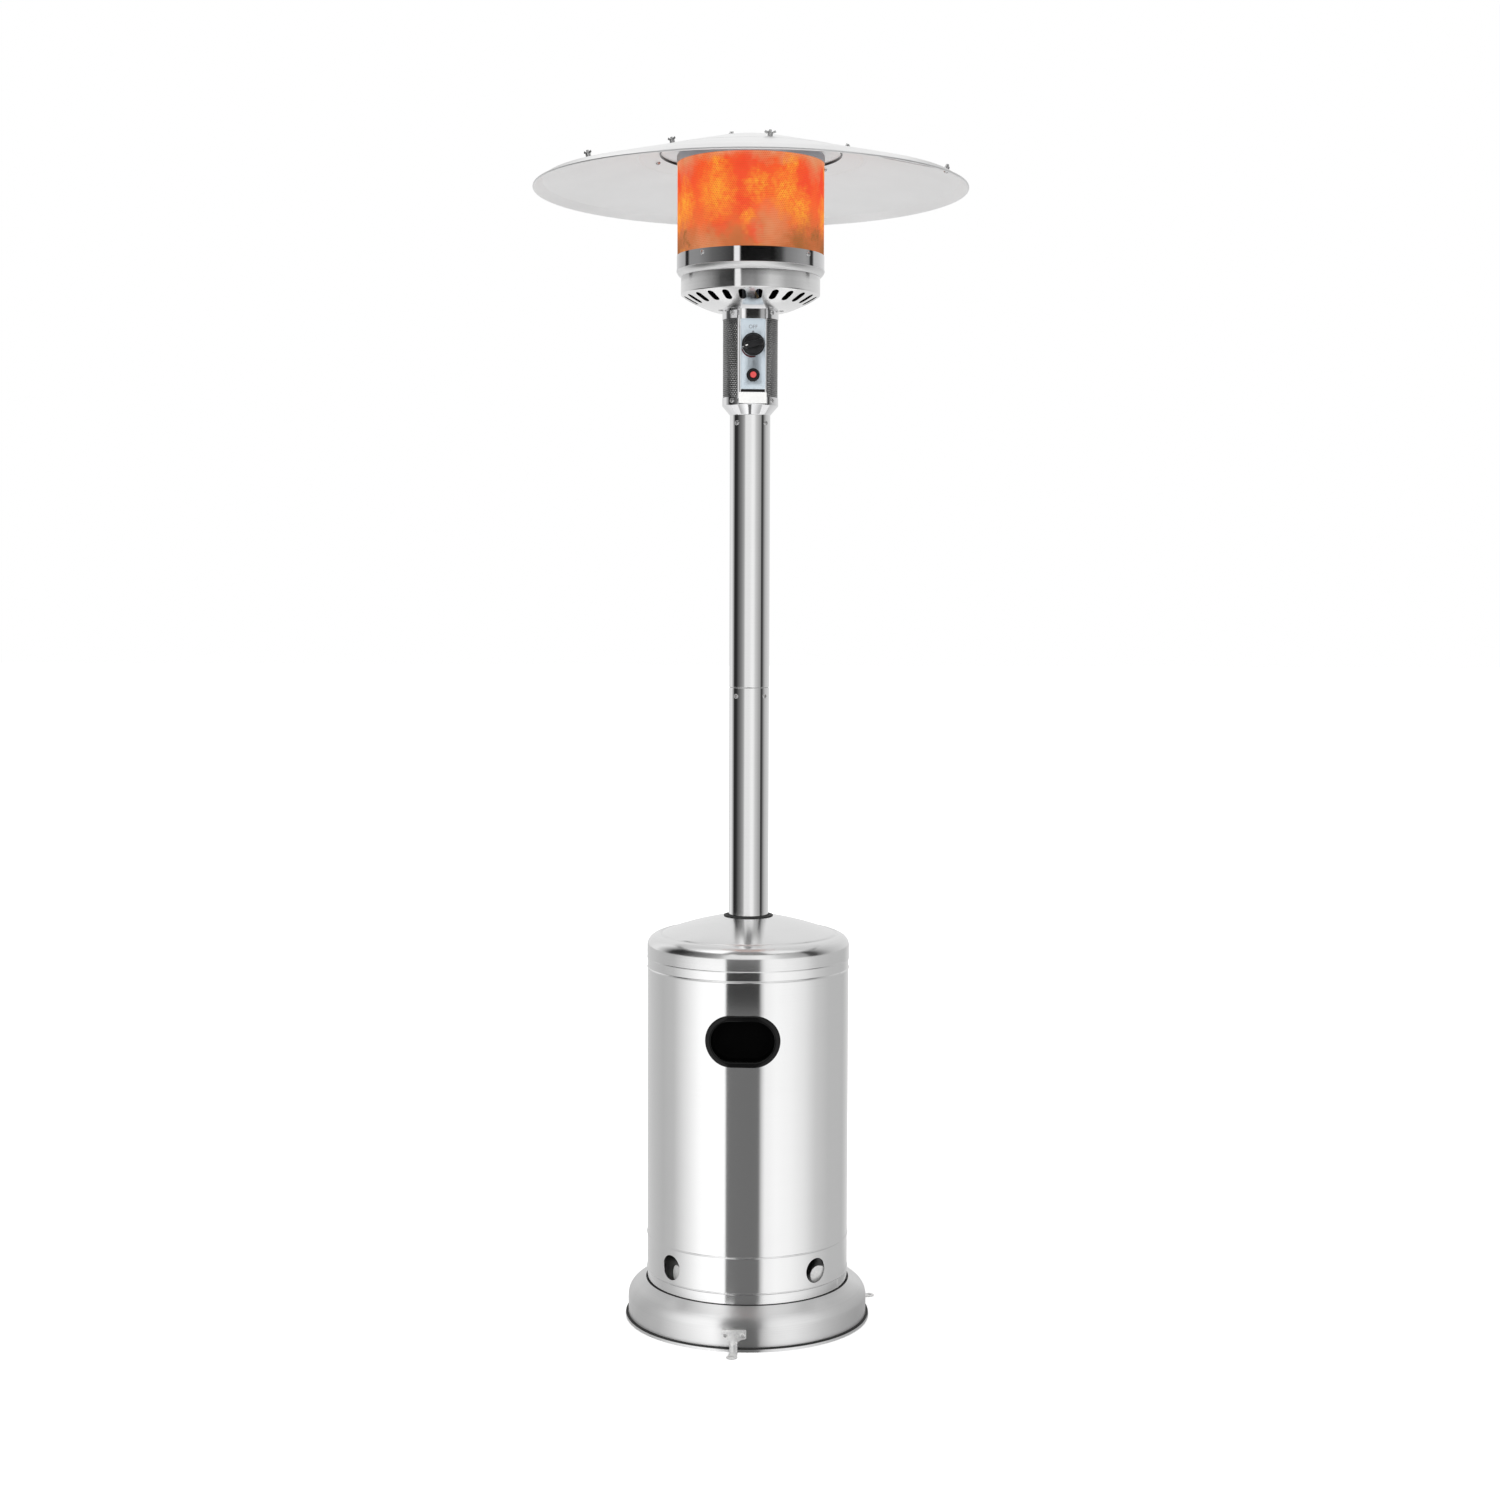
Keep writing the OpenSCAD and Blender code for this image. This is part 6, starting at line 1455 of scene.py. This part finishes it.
# %% Glowing screen and lid
GLOW_CELLS, GLOW_OPEN, GAUZE_IN, GAUZE_T = 232, 0.44, 5.0, 0.4
screen_low, screen_top = lip_top + 1.5, high("emitter_screen")
emitter = honeycomb(screen_r, screen_low, screen_top, GLOW_CELLS, GLOW_OPEN)
piece("glow_screen", emitter, finishes["hot_mesh"], covers=["emitter_screen"],
      thickness=SCREEN_T)
gauze_r, gauze_top = screen_r - GAUZE_IN, screen_top - 2
gauze = rounded([(gauze_r - GAUZE_T, screen_low), (gauze_r, screen_low), (gauze_r, gauze_top),
                 (gauze_r - GAUZE_T, gauze_top)], closed=True)
piece("inner_gauze", revolve(gauze, 120), ember)
lid_low, lid_top, lid_r = low("emitter_cap"), high("emitter_cap"), reach("emitter_cap")
lid_path = rounded([(lid_r, lid_low), (lid_r, lid_top, 2.5), (1, lid_top)])
piece("screen_lid", revolve(sheet(lid_path, 1.0), 180), finishes["heated_steel"],
      covers=["emitter_cap"])

# %% [markdown]
# ## Reflector
# Three cone panels lap at their seams under a round hub. A slanted lip and a rolled edge stiffen the rim,
# and a black ring under the panels' inner edge is painted shade, the dark gap under the hub. Thin sheet is
# drawn with its real thickness, so the laps and the roll catch light as they do on the real part.

# %% Reflector hub
hub_r, hub_z = reach("reflector_hub"), high("reflector_hub")
SHEET_T, SLOPE, FLAT_R, BEND_R = 0.9, 0.252, 52.0, 80.0


def cone_z(r):
    if r <= FLAT_R:
        return hub_z
    if r <= BEND_R:
        return hub_z - SLOPE * (r - FLAT_R) ** 2 / (2 * (BEND_R - FLAT_R))
    return hub_z - SLOPE * ((BEND_R - FLAT_R) / 2 + r - BEND_R)


hub_path = [Vector((hub_r, cone_z(hub_r) - 0.8)), Vector((hub_r - 1.5, cone_z(hub_r - 1.5) - 0.3))]
hub_rings = (hub_r - 4, 180, 140, 110, BEND_R, 75, 70, 65, 60, 56, FLAT_R, 20, 1)
hub_path += [Vector((r, cone_z(r))) for r in hub_rings]
piece("hub", revolve(sheet(hub_path, SHEET_T), 180), finishes["reflector_sheet"],
      covers=["reflector_hub"])

# %% Reflector panels
refl_r, PANEL_IN, ROLL_R, RIM_W, RIM_DROP = reach("reflector_panel_right"), 170.0, 2.2, 16.0, 12.0
UNDER_HUB, UNDER_PANEL, BEAD_SINK, FIRST_SEAM, LAP_TURN = 1.9, 2.9, 1.1, -52.0, 5.0
cone_end = refl_r - ROLL_R - RIM_W
roll_middle = Vector((cone_end + RIM_W - 0.2, cone_z(cone_end) - 1 - RIM_DROP + 0.4))
bead_in, bead_out = hub_r + 0.5, hub_r + 9.5
bead_shares = [k / 8 for k in range(9)]
pressed = [(bead_in + (bead_out - bead_in) * s, BEAD_SINK * math.sin(math.pi * s) ** 2) for s in bead_shares]
under = [(PANEL_IN, cone_z(PANEL_IN) - UNDER_HUB)]
under += [(r, cone_z(r) - UNDER_HUB - sink) for r, sink in pressed]
under += [(cone_end, cone_z(cone_end) - UNDER_HUB, 5), (roll_middle.x - 2.2, roll_middle.y - 1.2)]
roll_turns = [math.radians(a) for a in range(-128, 113, 24)]
panel_path = rounded(under) + [roll_middle + Vector((math.cos(a), math.sin(a))) * ROLL_R for a in roll_turns]
lap_path = [Vector((r, cone_z(r) - UNDER_PANEL)) for r in (PANEL_IN, cone_end - 4)]
for k, side in enumerate(("front", "right", "left")):
    seam = FIRST_SEAM + 120 * k
    panel = revolve(sheet(panel_path, SHEET_T), 60, seam, seam + 120)
    lap = revolve(sheet(lap_path, SHEET_T), 4, seam + 119.6, seam + 120 + LAP_TURN)
    piece("panel_" + side, joined(panel, lap), finishes["reflector_sheet"],
          covers=["reflector_panel_" + side])

# %% Reflector painted shade ring
# Painted shade: a black ring stands in for the dark gap between hub and panels.
shade_ring_out, shade_ring_in, SHADE_RING_H = PANEL_IN + 0.5, PANEL_IN - 2.5, 4.2
hub_shade_path = rounded([(shade_ring_in, cone_z(shade_ring_in) - 1.0), (shade_ring_in, cone_z(shade_ring_in) - SHADE_RING_H, 0.8),
                (shade_ring_out, cone_z(shade_ring_out) - SHADE_RING_H, 0.8), (shade_ring_out, cone_z(shade_ring_out) - 1.0)],
               closed=True, steps=3)
piece("hub_shade_ring", revolve(hub_shade_path, 180), glossy_black)

# %% [markdown]
# ## Screws
# Every outer screw is a pan head with a cross recess. The frame knows where each one sits: its screw nodes
# fall apart into islands, one to a screw, and the island gives the middle, the length and the side that the
# head looks to. The screws of the raised ring and bowl floor rise with them.


# %% Find the screws
def islands(name):
    work = bmesh.new()
    work.from_mesh(frame["nodes"][name].data)
    bmesh.ops.remove_doubles(work, verts=work.verts, dist=1e-6)
    work.verts.index_update()
    seen, found = set(), []
    for first in work.verts:
        if first.index in seen:
            continue
        todo, island = [first], []
        seen.add(first.index)
        while todo:
            vert = todo.pop()
            island.append(vert.co / MM)
            for edge in vert.link_edges:
                other = edge.other_vert(vert)
                if other.index not in seen:
                    seen.add(other.index)
                    todo.append(other)
        found.append(island)
    work.free()
    return found


def raised(island):
    on_raised_floor = top_low - FLOOR_RAISE < island[0].z < bowl_low + FLOOR_RAISE
    return [corner + Vector((0, 0, FLOOR_RAISE if on_raised_floor else 0)) for corner in island]


def radial(middle):
    return Vector((middle.x, middle.y, 0)).normalized()


def below(middle):
    return Vector((0, 0, -1))


def under_cone(middle):
    return (Vector((0, 0, -1)) - radial(middle) * SLOPE).normalized()


ways = {"anchor_screws": radial, "post_screws": radial, "neck_screws": radial, "band_screws": radial,
        "bowl_screws": below, "reflector_screws": under_cone}
print("Screws:", {node: len(islands(node)) for node in ways})

# %% Pan heads
HEAD_R, HEAD_H, SHANK_R, FLAT_TOP, SPIN = 4.5, 2.4, 2.4, 2.9, 0.7
CROSS_L, CROSS_W, CROSS_D, CROSS_FLOOR = 2.2, 0.55, 1.2, 0.3
cross = []
for turn_x, turn_z in ((1, 0), (0, 1), (-1, 0), (0, -1)):
    for x, z in ((CROSS_W, CROSS_W), (CROSS_W, CROSS_L), (-CROSS_W, CROSS_L)):
        cross.append((x * turn_x - z * turn_z, x * turn_z + z * turn_x))


def pan_head(island, way, spin):
    middle = sum(island, Vector()) / len(island)
    axis = way(middle)
    top, end = max(v.dot(axis) for v in island), min(v.dot(axis) for v in island)
    side = axis.orthogonal().normalized()
    side = side * math.cos(spin) + axis.cross(side) * math.sin(spin)
    up, foot = axis.cross(side), middle - axis * middle.dot(axis)

    def place(x, out, z):
        return tuple(foot + side * x + axis * out + up * z)

    profile = rounded([(SHANK_R - 0.6, end), (SHANK_R, end + 0.8), (SHANK_R, top - HEAD_H),
                       (HEAD_R, top - HEAD_H, 0.2), (HEAD_R, top - HEAD_H * 0.45, 0.9), (FLAT_TOP, top)],
                      steps=4)
    turned = loft([[place(x, out, z) for x, z in circle(0, 0, r, 32)] for r, out in profile], caps=False)
    flat, cross_low = circle(0, 0, FLAT_TOP, 32), top - CROSS_D
    recess = cut_plate(flat, [cross], cross_low, top, place)
    return joined(turned, recess, cut_plate(flat, [], cross_low - CROSS_FLOOR, cross_low, place))


for node, way in ways.items():
    heads = [pan_head(raised(island), way, SPIN * k) for k, island in enumerate(islands(node))]
    finish = pale_zinc if node == "anchor_screws" else finishes["fasteners"]
    piece("pan_head_" + node, joined(*heads), finish, covers=[node])

# %% [markdown]
# ## Last measure
# The skins must not outgrow the frame. Both boxes, before and after dressing, are printed.

# %% Measure and finish
looks_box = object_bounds()
cad_size, looks_size = cad_box[1] - cad_box[0], looks_box[1] - looks_box[0]
print("Frame box", [round(v, 4) for v in cad_size], "dressed", [round(v, 4) for v in looks_size])
